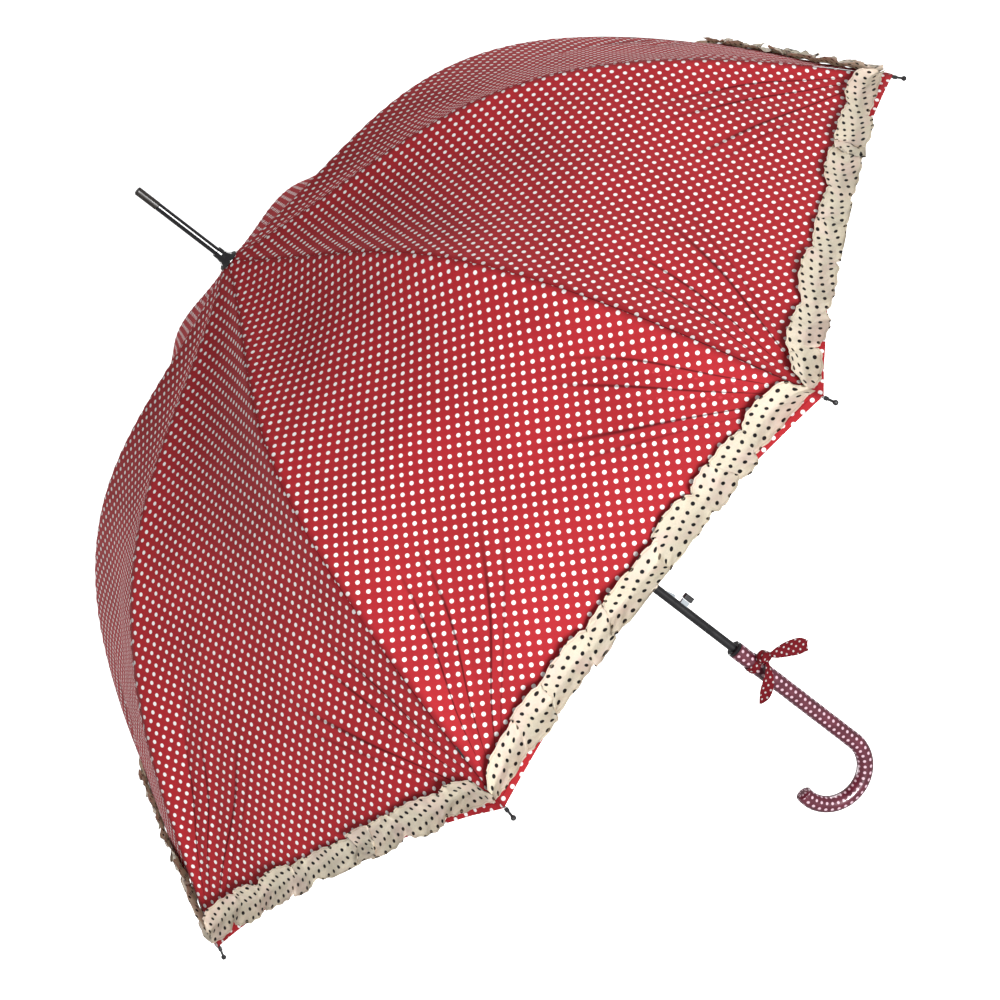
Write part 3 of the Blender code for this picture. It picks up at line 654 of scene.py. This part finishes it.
def gore_cloth(index, t, c):
    """One gore's cloth: points, normals, flat metres, edge distances and thicknesses."""
    draw = np.random.default_rng(50 + index)
    points = gore_surface(t, c, cloth_depth(t, c, index), gore_middle(index))
    normals = normals_of(points)
    flat = np.stack((half_width(t) * c, flat_y(t)), -1) + draw.uniform(0, 0.02, 2)
    to_hem = flat_y(hem_at(c)) - flat_y(t)
    edges = np.stack((half_width(t) * (1 - np.abs(c)), to_hem), -1)
    past_hem = smoothstep((to_hem - HEM_WIDTH) / (1.2 * MM))
    thick = CLOTH + (HEM_THICK - CLOTH) * (1 - past_hem)
    return points, normals, flat, edges, thick


def cloth_panel(grids, lap, rib, side, upper):
    """Half a gore, down to the ribs' bend or on from it, on the rib's strip or its rod."""
    rows = slice(0, INNER_ROWS + LAP_ROWS + 1) if upper else slice(INNER_ROWS, None)
    columns = slice(0, HALF_COLUMNS + 1) if side == 1 else slice(HALF_COLUMNS, None)
    spots, ups, flat, edges, thick = (grid[rows, columns] for grid in grids)
    if upper:
        spots = spots - ups * lap[rows][..., None]
    hand = "right" if side == 1 else "left"
    name = f"cloth_{rib + 1}_{hand}_{'upper' if upper else 'lower'}"
    piece = shell(name, spots, ups, flat, edges, thick, [MAT["red"], MAT["red_back"]])
    ends = (0.0, FLEX_AT) if upper else (FLEX_AT, 1.0)
    body = "rib" if upper else "rod"
    fold_with(piece, f"{body}_{rib + 1}", fold_plane(rib, side, *ends))
    if upper and side == 1:
        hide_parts(f"canopy_gore_{rib + 1}")


def canopy():
    """Eight gores, each as two halves that are parted at the ribs' bend."""
    t, c = gore_grid()
    lap = smoothstep((np.arange(len(t)) - INNER_ROWS + 1) / LAP_EASE)[:, None] * LAP_DROP
    for index in range(RIB_COUNT):
        grids = gore_cloth(index, t, c)
        for side, rib in ((1, index), (-1, (index + 1) % RIB_COUNT)):
            for upper in (True, False):
                cloth_panel(grids, lap, rib, side, upper)


# The frill


def flat_of_strip(points):
    """Flat cloth coordinates of a gathered strip, from the lengths along and across it."""
    steps = np.linalg.norm(np.diff(points, axis=1), axis=2).mean(axis=0)
    along = np.concatenate(((0,), np.cumsum(steps)))
    rises = np.linalg.norm(np.diff(points, axis=0), axis=2)
    up = np.concatenate((np.zeros((1, points.shape[1])), np.cumsum(rises, axis=0)))
    up = up - up[len(up) // 2]
    return np.stack((np.broadcast_to(along, up.shape), up), -1)


def frill_phase(columns, across, draw):
    """Which puff of the strip each point is in, as a number that rises by 1 for each puff.

    The folds between the puffs slant and part into a V towards the strip's edges.
    """
    ends = np.linspace(-1, 1, BUBBLES + 1)
    gap = ends[1] - ends[0]
    inside = np.minimum(np.arange(BUBBLES + 1), BUBBLES - np.arange(BUBBLES + 1)) > 0
    ends = ends + inside * draw.uniform(-0.36, 0.36, BUBBLES + 1) * gap
    slant = inside * draw.uniform(-0.20, 0.20, BUBBLES + 1) * gap
    vee = inside * draw.uniform(-0.16, 0.16, BUBBLES + 1) * gap
    counts = np.arange(BUBBLES + 1)
    rows = [np.interp(columns, ends + slant * w + vee * abs(w), counts) for w in across[:, 0]]
    return np.array(rows)


def frill_lift(phase, across, puff, bend, lean, inside):
    """How far the strip stands off the gore, more towards its free edges."""
    outer = np.abs(across)
    lift = TACK_LIFT + EDGE_LIFT * outer + puff * (PUFF_LOW * outer + PUFF_HIGH * outer**1.6)
    lift = lift + bend * 1.4 * MM * outer
    crumple = np.sin(phase * 13 + across * 3) * np.sin(phase * 5 - across * 4.5 + lean)
    lift = lift + CRUMPLE * crumple * inside * outer
    return np.maximum(lift, LEAST_LIFT)


def frill_gore(index):
    """The strip on one gore: points, normals, flat metres, edge distances and thicknesses."""
    across = np.linspace(-1, 1, FRILL_ROWS + 1)[:, None]
    outer = np.abs(across)
    columns = np.linspace(-1, 1, FRILL_STEPS + 1)
    mid_t = (FRILL_TOP + FRILL_BOTTOM) / 2
    half_t = (FRILL_BOTTOM - FRILL_TOP) / 2
    half_rim = float(half_width(mid_t))
    puff_length = 2 * half_rim / BUBBLES
    draw = np.random.default_rng(300 + index)
    phase = frill_phase(columns, across, draw)
    which = np.clip(np.floor(phase), 0, BUBBLES - 1).astype(int)
    nearest = np.round(phase).astype(int)
    size = draw.uniform(0.65, 1.15, BUBBLES)[which]
    fold = draw.uniform(0.2, 1.5, BUBBLES + 1)[nearest]
    lean = draw.choice((-1.0, 1.0), BUBBLES + 1)[nearest]
    inside = smoothstep((1 - np.abs(columns)) / 0.06)
    puff = np.sin(math.pi * (phase - which)) ** 0.7
    swing = np.sin(math.tau * (phase - which)) * inside
    corner = np.abs(columns) ** 14
    reach = (0.62 + 0.38 * puff * size) * (1 - 0.5 * corner)
    reach = reach * (1 + 0.05 * np.sin(phase * 31 + 4 * across))
    shift = -0.16 * puff_length * fold * swing * (0.45 + 0.75 * outer)
    c = np.clip(columns + shift / half_rim, -1, 1)
    t = mid_t + 0.0100 * corner + half_t * (across * reach + 0.10 * np.sin(phase * 4.3))
    t = np.minimum(t, hem_at(columns) + 0.006)
    lift = frill_lift(phase, across, puff * size, lean * fold * swing, lean, inside)
    even = np.broadcast_to(columns, t.shape)
    ups = normals_of(gore_surface(t, even, 0 * t, gore_middle(index)))
    depth = cloth_depth(t, c, index)
    sink = depth * (1 - outer) + np.minimum(depth, 0) * outer
    points = gore_surface(t, c, sink, gore_middle(index)) + ups * lift[..., None]
    flat = flat_of_strip(points) + (0.517 * index, 0.0)
    # painted shade along the folds between the puffs, darker where a fold is stronger; fed in where
    # other pieces give their seam distance
    fold_shade_distance = np.abs(phase - nearest) * puff_length + (1.5 - fold) * 3 * MM + 1.2 * MM
    to_edge = (1 - outer) * half_t * reach
    edges = np.stack((fold_shade_distance, to_edge + 0 * fold_shade_distance), -1)
    return points, normals_of(points), flat, edges, np.full(t.shape, CLOTH)


def frill_half(grids, rib, side):
    """The strip on half a gore, which folds with the rib's rod."""
    cut = slice(0, FRILL_STEPS // 2 + 1) if side == 1 else slice(FRILL_STEPS // 2, None)
    hand = "right" if side == 1 else "left"
    points, normals, flat, edges, thick = (grid[:, cut] for grid in grids)
    name = f"frill_{rib + 1}_{hand}"
    piece = shell(name, points, normals, flat, edges, thick, [MAT["cream"], MAT["cream"]])
    fold_with(piece, f"rod_{rib + 1}", fold_plane(rib, side, FLEX_AT, 1.0, lift=1.6 * MM))
    if rib == 0 and side == 1:
        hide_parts("frill")


def frill():
    """The gathered strip: a row of puffs tacked along its middle, with free scalloped edges."""
    for index in range(RIB_COUNT):
        grids = frill_gore(index)
        for side, rib in ((1, index), (-1, (index + 1) % RIB_COUNT)):
            frill_half(grids, rib, side)


# Small cloth pieces on the ribs and the crown


def tape_points(index, t, off, s):
    """The seam allowance under a rib, which follows the gores on its two sides."""
    sides = []
    for gore, c in ((index - 1, 1 - off), (index, off - 1)):
        sink = cloth_depth(t, c, gore % RIB_COUNT) + TAPE_SINK
        sides.append(gore_surface(t + 0 * c, c, sink, gore_middle(gore)))
    return np.where(s[..., None] < 0, sides[0], sides[1])


def bend_ends(index):
    """Where a rib's tape starts and stops bending, either side of the rib's bend."""
    radial, _ = rib_axes(FIRST_RIB + RIB_STEP * index)
    flex = radial * rib_curve(FLEX_AT)[0] + np.array((0, 0, rib_curve(FLEX_AT)[1] + CROWN_Z))
    chord = rib_curve(0.56) - rib_curve(0.42)
    along = radial * chord[0] + np.array((0, 0, chord[1]))
    along *= TAPE_BEND / np.linalg.norm(along)
    return tuple(flex - along), tuple(flex + along)


def rib_tapes():
    """The seam allowance under each rib's seam."""
    t = np.linspace(0.004, 0.985, 150)[:, None]
    width = np.minimum(TAPE_HALF, TAPE_SHARE * half_width(t))
    s = np.linspace(-1, 1, 9) * width
    off = np.abs(s) / half_width(t)
    flat = np.stack((s, flat_y(t) + 0 * s), -1)
    # painted shade towards the tape's two edges
    edges = np.stack((width - np.abs(s) + 2 * MM, np.full(s.shape, NO_LINE)), -1)
    thick = np.full(s.shape, CLOTH)
    backs = [MAT["red_back"], MAT["red_back"]]
    for index in range(RIB_COUNT):
        points = tape_points(index, t, off, s)
        piece = shell(f"tape_{index + 1}", points, normals_of(points), flat, edges, thick, backs)
        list(bend_ends(index))
        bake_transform(piece)


def crown_patch():
    """The round patch of cloth between the gores and the top notch."""
    radius = np.array((4.5, 6.2, 8.0, 10.0, 12.0, 13.1))[:, None] * MM
    height = np.array((-0.9, -0.95, -1.05, -1.45, -1.95, -2.5))[:, None] * MM
    angle = np.linspace(0, math.tau, 65)
    points = np.stack(
        (radius * np.cos(angle), radius * np.sin(angle), CROWN_Z + height + 0 * angle), -1
    )
    normals = normals_of(points)
    flat = points[..., :2].copy()
    edges = np.full(flat.shape, NO_LINE)
    thick = np.full(flat.shape[:2], 0.3 * MM)
    faces = [MAT["red"], MAT["red_back"]]
    piece = shell("crown_patch", points, normals, flat, edges, thick, faces)
    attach(piece, "root")


# The handle and its bow


def handle_path():
    """The middle of the handle as (x, z) points, from its top round the crook."""
    straight = np.linspace(HANDLE_TOP, STRAIGHT_END, 60)[:, None] * (0, 1)
    turn = np.linspace(0, CROOK_TURN, 70)[1:, None]
    x = CROOK_RADIUS * (np.cos(turn) - 1)
    z = STRAIGHT_END - CROOK_RADIUS * np.sin(turn)
    return np.concatenate((straight, np.concatenate((x, z), 1)))


def handle_rings():
    """Middles, directions, lengths along and radii of the handle's rings, to its rounded end."""
    path = handle_path()
    along = np.gradient(path, axis=0)
    along /= np.linalg.norm(along, axis=1, keepdims=True)
    lengths = np.concatenate(((0,), np.cumsum(np.linalg.norm(np.diff(path, axis=0), axis=1))))
    closing = np.linspace(0, math.pi / 2, 9)[1:]
    cap = path[-1] + along[-1] * (END_BULGE * np.sin(closing))[:, None]
    rounding = WRAP_RADIUS * np.cos(closing) ** 0.7
    radius = np.full(len(path), WRAP_RADIUS)
    radius = np.concatenate((radius, np.maximum(rounding, 0.02 * MM)))
    path = np.concatenate((path, cap))
    along = np.concatenate((along, np.repeat(along[-1:], len(cap), 0)))
    lengths = np.concatenate((lengths, lengths[-1] + 3 * MM + (WRAP_RADIUS - rounding)))
    return path, along, lengths, radius


def handle_points():
    """The grid of the handle's skin, with its seam along the crook's inside, and its flat metres."""
    path, along, lengths, radius = handle_rings()
    angle = np.linspace(-math.pi, math.pi, 41)
    side = np.stack((-along[:, 1], along[:, 0]), -1)
    ripple = 1 + 0.010 * np.sin(lengths[:, None] * 260 + 3 * np.sin(angle)) * np.sin(2 * angle + 1)
    reach = radius[:, None] * ripple
    x = path[:, :1] + side[:, :1] * np.cos(angle) * reach
    z = path[:, 1:] + side[:, 1:] * np.cos(angle) * reach
    y = np.sin(angle) * reach
    flat = np.stack((angle * WRAP_RADIUS + 0 * x, lengths[:, None] + 0 * x), -1)
    return np.stack((x, y, z), -1), flat


def handle_mesh():
    """One closed skin, with the seam's two edges welded."""
    points, flat = handle_points()
    rows, columns = points.shape[:2]
    index = np.arange(rows * columns).reshape(rows, columns)
    quads = np.stack((index[:-1, :-1], index[:-1, 1:], index[1:, 1:], index[1:, :-1]), -1)
    mesh = bpy.data.meshes.new("handle_wrap")
    mesh.from_pydata(points.reshape(-1, 3).tolist(), [], quads.reshape(-1, 4).tolist())
    loops = np.empty(len(mesh.loops), np.int32)
    mesh.loops.foreach_get("vertex_index", loops)
    uv_layer(mesh, "cloth", flat.reshape(-1, 2), loops)
    mesh.materials.append(wrap_material())
    mesh.update()
    work = bmesh.new()
    work.from_mesh(mesh)
    bmesh.ops.remove_doubles(work, verts=work.verts, dist=0.03 * MM)
    bmesh.ops.holes_fill(work, edges=work.edges, sides=60)
    bmesh.ops.recalc_face_normals(work, faces=work.faces)
    work.to_mesh(mesh)
    work.free()
    mesh.shade_smooth()
    mesh.set_sharp_from_angle(angle=math.radians(50))
    return mesh


def handle():
    """The wrapped handle and its rounded end."""
    piece = bpy.data.objects.new("handle_wrap", handle_mesh())
    bpy.context.scene.collection.objects.link(piece)
    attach(piece, "root")
    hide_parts("handle_crook", "crook_end_cap")


def wrap_material():
    """Dotted cloth under a clear glossy film that isn't quite flat."""
    material, tree, shader = new_material("handle_wrap")
    flat = node(tree, "ShaderNodeUVMap", uv_map="cloth").outputs[0]
    cloudy = noise(tree, flat, 60.0, 3.0)
    base = mixed(tree, 1.0, WRAP, mapped(tree, cloudy, 0.25, 0.75, 0.75, 1.2), "MULTIPLY")
    mask = dots(tree, flat, 6.1 * MM, 1.4 * MM, 0.0, 0.3 * MM)
    tree.links.new(mixed(tree, mask, base, WRAP_DOT), shader.inputs["Base Color"])
    tree.links.new(mapped(tree, cloudy, 0.2, 0.8, 0.28, 0.45), shader.inputs["Roughness"])
    shader.inputs["Coat Weight"].default_value = 1.0
    shader.inputs["Coat Roughness"].default_value = 0.06
    shader.inputs["Coat Tint"].default_value = (0.95, 0.86, 0.93, 1)
    film = noise(tree, flat, 130.0, 2.0)
    bump(tree, shader, film, 0.35, 0.5 * MM, "Coat Normal")
    bump(tree, shader, weave(tree, flat, 0.5 * MM), 0.25, 0.05 * MM)
    return material


def smooth_path(points, count):
    """A Catmull-Rom line through points."""
    points = np.asarray(points, float)
    before = 2 * points[:1] - points[1:2]
    after = 2 * points[-1:] - points[-2:-1]
    padded = np.concatenate((before, points, after))
    where = np.linspace(0, len(points) - 1, count)
    k = np.minimum(where.astype(int), len(points) - 2)
    u = (where - k)[:, None]
    a, b, c, d = (padded[k + n] for n in range(4))
    square = (2 * a - 5 * b + 4 * c - d) * u**2
    cube = (3 * b - a - 3 * c + d) * u**3
    return 0.5 * (2 * b + (c - a) * u + square + cube)


def bow_tail(name, spots, widths, curl, node_name, seed):
    """One tail of the bow: cloth pinched at the knot, opening out and cut with a frayed end."""
    draw = np.random.default_rng(seed)
    path = smooth_path(KNOT_AT + np.array(spots) * MM, TAIL_ROWS)
    width = smooth_path(np.array([v * MM for v in widths])[:, None], TAIL_ROWS)[:, 0]
    ahead = np.gradient(path, axis=0)
    ahead /= np.linalg.norm(ahead, axis=1, keepdims=True)
    up = np.array((0, 0, 1.0)) - ahead * ahead[:, 2:]
    up /= np.linalg.norm(up, axis=1, keepdims=True)
    out = np.cross(ahead, up)
    across = np.linspace(-1, 1, TAIL_COLUMNS)
    share = np.linspace(0, 1, TAIL_ROWS)[:, None]
    ragged = draw.uniform(-1, 1, (TAIL_ROWS, TAIL_COLUMNS))
    fray = 1 + 0.05 * ragged * smoothstep((share - 0.85) / 0.15)
    pleat = np.sin(across * 5.5 + 0.6) * (1 - smoothstep((share - 0.05) / 0.45)) * 1.3 * MM
    belly = curl * (across**2 - 0.35) * width[:, None] / 2 * (0.5 + 0.5 * share)
    wave = 0.7 * MM * np.sin(share * 9 + across * 1.6)
    points = (
        path[:, None]
        + up[:, None] * (across * fray * width[:, None] / 2)[..., None]
        + out[:, None] * (belly + pleat + wave * share)[..., None]
    )
    normals = normals_of(points)
    flat = flat_of_strip(np.swapaxes(points, 0, 1)).swapaxes(0, 1)
    nought = 0 * flat[..., 0]
    # painted shade that darkens the tail towards the knot
    edges = np.stack((nought + 4 * MM + 12 * MM * share, nought + NO_LINE), -1)
    thick = np.full(points.shape[:2], BOW_CLOTH)
    piece = shell(name, points, normals, flat, edges, thick, [MAT["bow"], MAT["bow"]])
    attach(piece, "root")
    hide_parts(node_name)


def bow_band():
    """The cloth band round the handle, drawn in at the knot."""
    angle = np.linspace(0, math.tau, 97)
    height = np.linspace(1, -1, 11)[:, None]
    radius = WRAP_RADIUS + 0.45 * MM + 0.55 * MM * np.sqrt(np.clip(1 - height**2, 0, 1))
    radius = radius + 0.28 * MM * np.sin(height * 7 + 1.3 * np.sin(angle * 2)) + 0 * angle
    narrow = 1 - 0.30 * np.exp(-((angle_from(angle, KNOT_ANGLE)) / 0.7) ** 2)
    level = BOW_Z + height * 4.0 * MM * narrow + 0.5 * MM * np.sin(angle + 0.4)
    band = np.stack((radius * np.cos(angle), radius * np.sin(angle), level), -1)
    flat = np.stack((angle * BAND_ROUND * MM + 0 * level, level), -1)
    edges = np.stack((6 * MM + 0 * level, NO_LINE + 0 * level), -1)
    thick = np.full(level.shape, 0.35 * MM)
    faces = [MAT["bow"], MAT["bow"]]
    piece = shell("bow_band_cloth", band, normals_of(band), flat, edges, thick, faces)
    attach(piece, "root")


def bow_knot():
    """The pleated knot that the band is tied in."""
    turn = np.linspace(math.tau, 0, 65)
    rise = np.linspace(0.14, math.pi - 0.14, 33)[:, None]
    pleats = 1 + 0.075 * np.sin(5 * turn + 2.2 * np.sin(rise * 2)) * np.sin(rise) ** 0.5
    pleats = pleats + 0.05 * np.sin(9 * turn - 3 * rise)
    x = np.cos(rise) * 0.92 + 0 * turn
    y = np.sin(rise) * np.cos(turn) * pleats
    z = np.sin(rise) * np.sin(turn) * pleats
    ball = np.stack((x * KNOT_SIZE[1], y * KNOT_SIZE[0], z * KNOT_SIZE[2]), -1)
    radial, tangent = rib_axes(KNOT_ANGLE)
    spots = KNOT_AT + ball[..., :1] * tangent + ball[..., 1:2] * radial + ball[..., 2:] * (0, 0, 1)
    flat = np.stack((turn * KNOT_ROUND * MM + 0 * x, rise * KNOT_ROUND * MM + 0 * x), -1)
    # painted shade in the knot's pleats
    pleat_shade_distance = 3 * MM + 4 * MM * np.abs(np.sin(2.5 * turn)) + 0 * x
    edges = np.stack((pleat_shade_distance, NO_LINE + 0 * x), -1)
    thick = np.full(x.shape, BOW_CLOTH)
    faces = [MAT["bow"], MAT["bow"]]
    piece = shell("bow_knot_cloth", spots, normals_of(spots), flat, edges, thick, faces)
    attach(piece, "root")
    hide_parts("bow_knot")


def angle_from(angle, middle):
    return (angle - middle + math.pi) % math.tau - math.pi


def bow():
    """The band, the knot and the two tails. Spots and widths are in mm from the knot."""
    bow_band()
    bow_knot()
    bow_tail(
        "bow_tail_upper_cloth",
        (
            (2, -1, -1), (6.2, -2.6, -3), (11, -3.6, -6),
            (19, -4.2, -11), (27, -4, -18), (33, -3, -26),
        ),
        (4, 5, 10, 14.5, 15.5, 9),
        0.35,
        "bow_tail_upper",
        11,
    )
    bow_tail(
        "bow_tail_lower_cloth",
        (
            (-1, -4, -2), (-3.5, -7, -5), (-9, -10, -9),
            (-17, -11, -14), (-26, -10, -19), (-34, -8, -22),
        ),
        (4, 6, 9, 11.5, 10, 3),
        -0.3,
        "bow_tail_lower",
        12,
    )


# Finishes of the CAD pieces


def finishes():
    """Materials for the CAD nodes that stay."""
    satin = hard_material("satin_black", (0.014, 0.014, 0.016), 0.32)
    gloss = hard_material("gloss_black", (0.006, 0.006, 0.008), 0.12, coat=0.3)
    cap = hard_material("ferrule_cap", (0.022, 0.018, 0.016), 0.3)
    steel = brushed_material("plated_steel", (0.55, 0.56, 0.58), 0.3, (1, 1, 0.15))
    lacquer = hard_material("black_lacquer", (0.02, 0.02, 0.022), 0.3, coat=0.3)
    grey = hard_material("grey_plastic", (0.33, 0.37, 0.40), 0.4)
    chosen = {
        "ferrule": gloss,
        "ferrule_end_cap": cap,
        "crown_rosette": gloss,
        "handle_collar": gloss,
        "shaft_tube": satin,
        "top_notch": satin,
        "runner_crown": satin,
        "runner_sleeve": satin,
        "button_cap": satin,
        "button_stem": grey,
        "bottom_catch": grey,
        "top_catch": grey,
        "notch_wire": steel,
        "opening_spring": steel,
    }
    for number in range(1, RIB_COUNT + 1):
        chosen[f"rib_{number}_inner"] = steel
        chosen[f"stretcher_{number}"] = steel
        chosen[f"rib_{number}_outer"] = lacquer
        chosen[f"rib_{number}_tip"] = lacquer
    for name, material in chosen.items():
        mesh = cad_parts[name].data
        mesh.materials.clear()
        mesh.materials.append(material)


# Camera, lights and floor


def camera():
    data = bpy.data.cameras.new("camera")
    data.lens = CAMERA_LENS
    data.sensor_width = 36
    data.clip_end = 200
    item = bpy.data.objects.new("camera", data)
    bpy.context.scene.collection.objects.link(item)
    back = CAMERA_RIGHT.cross(CAMERA_UP)
    turn = Matrix((CAMERA_RIGHT, CAMERA_UP, back)).transposed().to_4x4()
    item.matrix_world = Matrix.Translation(CAMERA_AT) @ turn
    bpy.context.scene.camera = item


def area_light(name, place, aim, size, power):
    data = bpy.data.lights.new(name, "AREA")
    data.shape = "DISK"
    data.size = size
    data.energy = power
    item = bpy.data.objects.new(name, data)
    bpy.context.scene.collection.objects.link(item)
    item.location = place
    item.rotation_euler = (Vector(aim) - Vector(place)).to_track_quat("-Z", "Y").to_euler()


def backdrop_material():
    """Even white with a faint grain, which shines so that it stays white."""
    material, tree, shader = new_material("backdrop_white")
    grain = noise(tree, object_vector(tree), 2.0, 4.0)
    tone = mapped(tree, grain, 0.2, 0.8, 0.985, 1.0)
    white = mixed(tree, 1.0, (1.0, 1.0, 1.0), tone, "MULTIPLY")
    tree.links.new(white, shader.inputs["Base Color"])
    shader.inputs["Roughness"].default_value = 0.9
    shader.inputs["Emission Color"].default_value = (1, 1, 1, 1)
    shader.inputs["Emission Strength"].default_value = 1.0
    return material


def backdrop():
    """The floor and the sphere round it, which only the camera sees."""
    place = (0, 0, FLOOR_Z)
    bpy.ops.mesh.primitive_circle_add(
        vertices=96, radius=FLOOR_RADIUS, fill_type="NGON", location=place
    )
    floor = bpy.context.object
    floor.name = "floor"
    bpy.ops.mesh.primitive_uv_sphere_add(
        segments=48, ring_count=24, radius=BACKDROP_RADIUS, location=place
    )
    around = bpy.context.object
    around.name = "backdrop"
    material = backdrop_material()
    for item in (floor, around):
        item.data.materials.append(material)
        item.visible_diffuse = False
        item.visible_glossy = False
        item.visible_shadow = False


def studio():
    world = bpy.data.worlds.new("studio")
    bpy.context.scene.world = world
    world.use_nodes = True
    sky = world.node_tree.nodes["Background"]
    sky.inputs["Color"].default_value = (1, 1, 1, 1)
    sky.inputs["Strength"].default_value = WORLD_STRENGTH
    for name, offset, size, power in LIGHTS:
        area_light(name, MIDDLE + Vector(offset), MIDDLE, size, power)
    backdrop()
    bpy.context.scene.view_settings.view_transform = "Standard"


canopy()
frill()
rib_tapes()
crown_patch()
handle()
bow()
finishes()
camera()
studio()
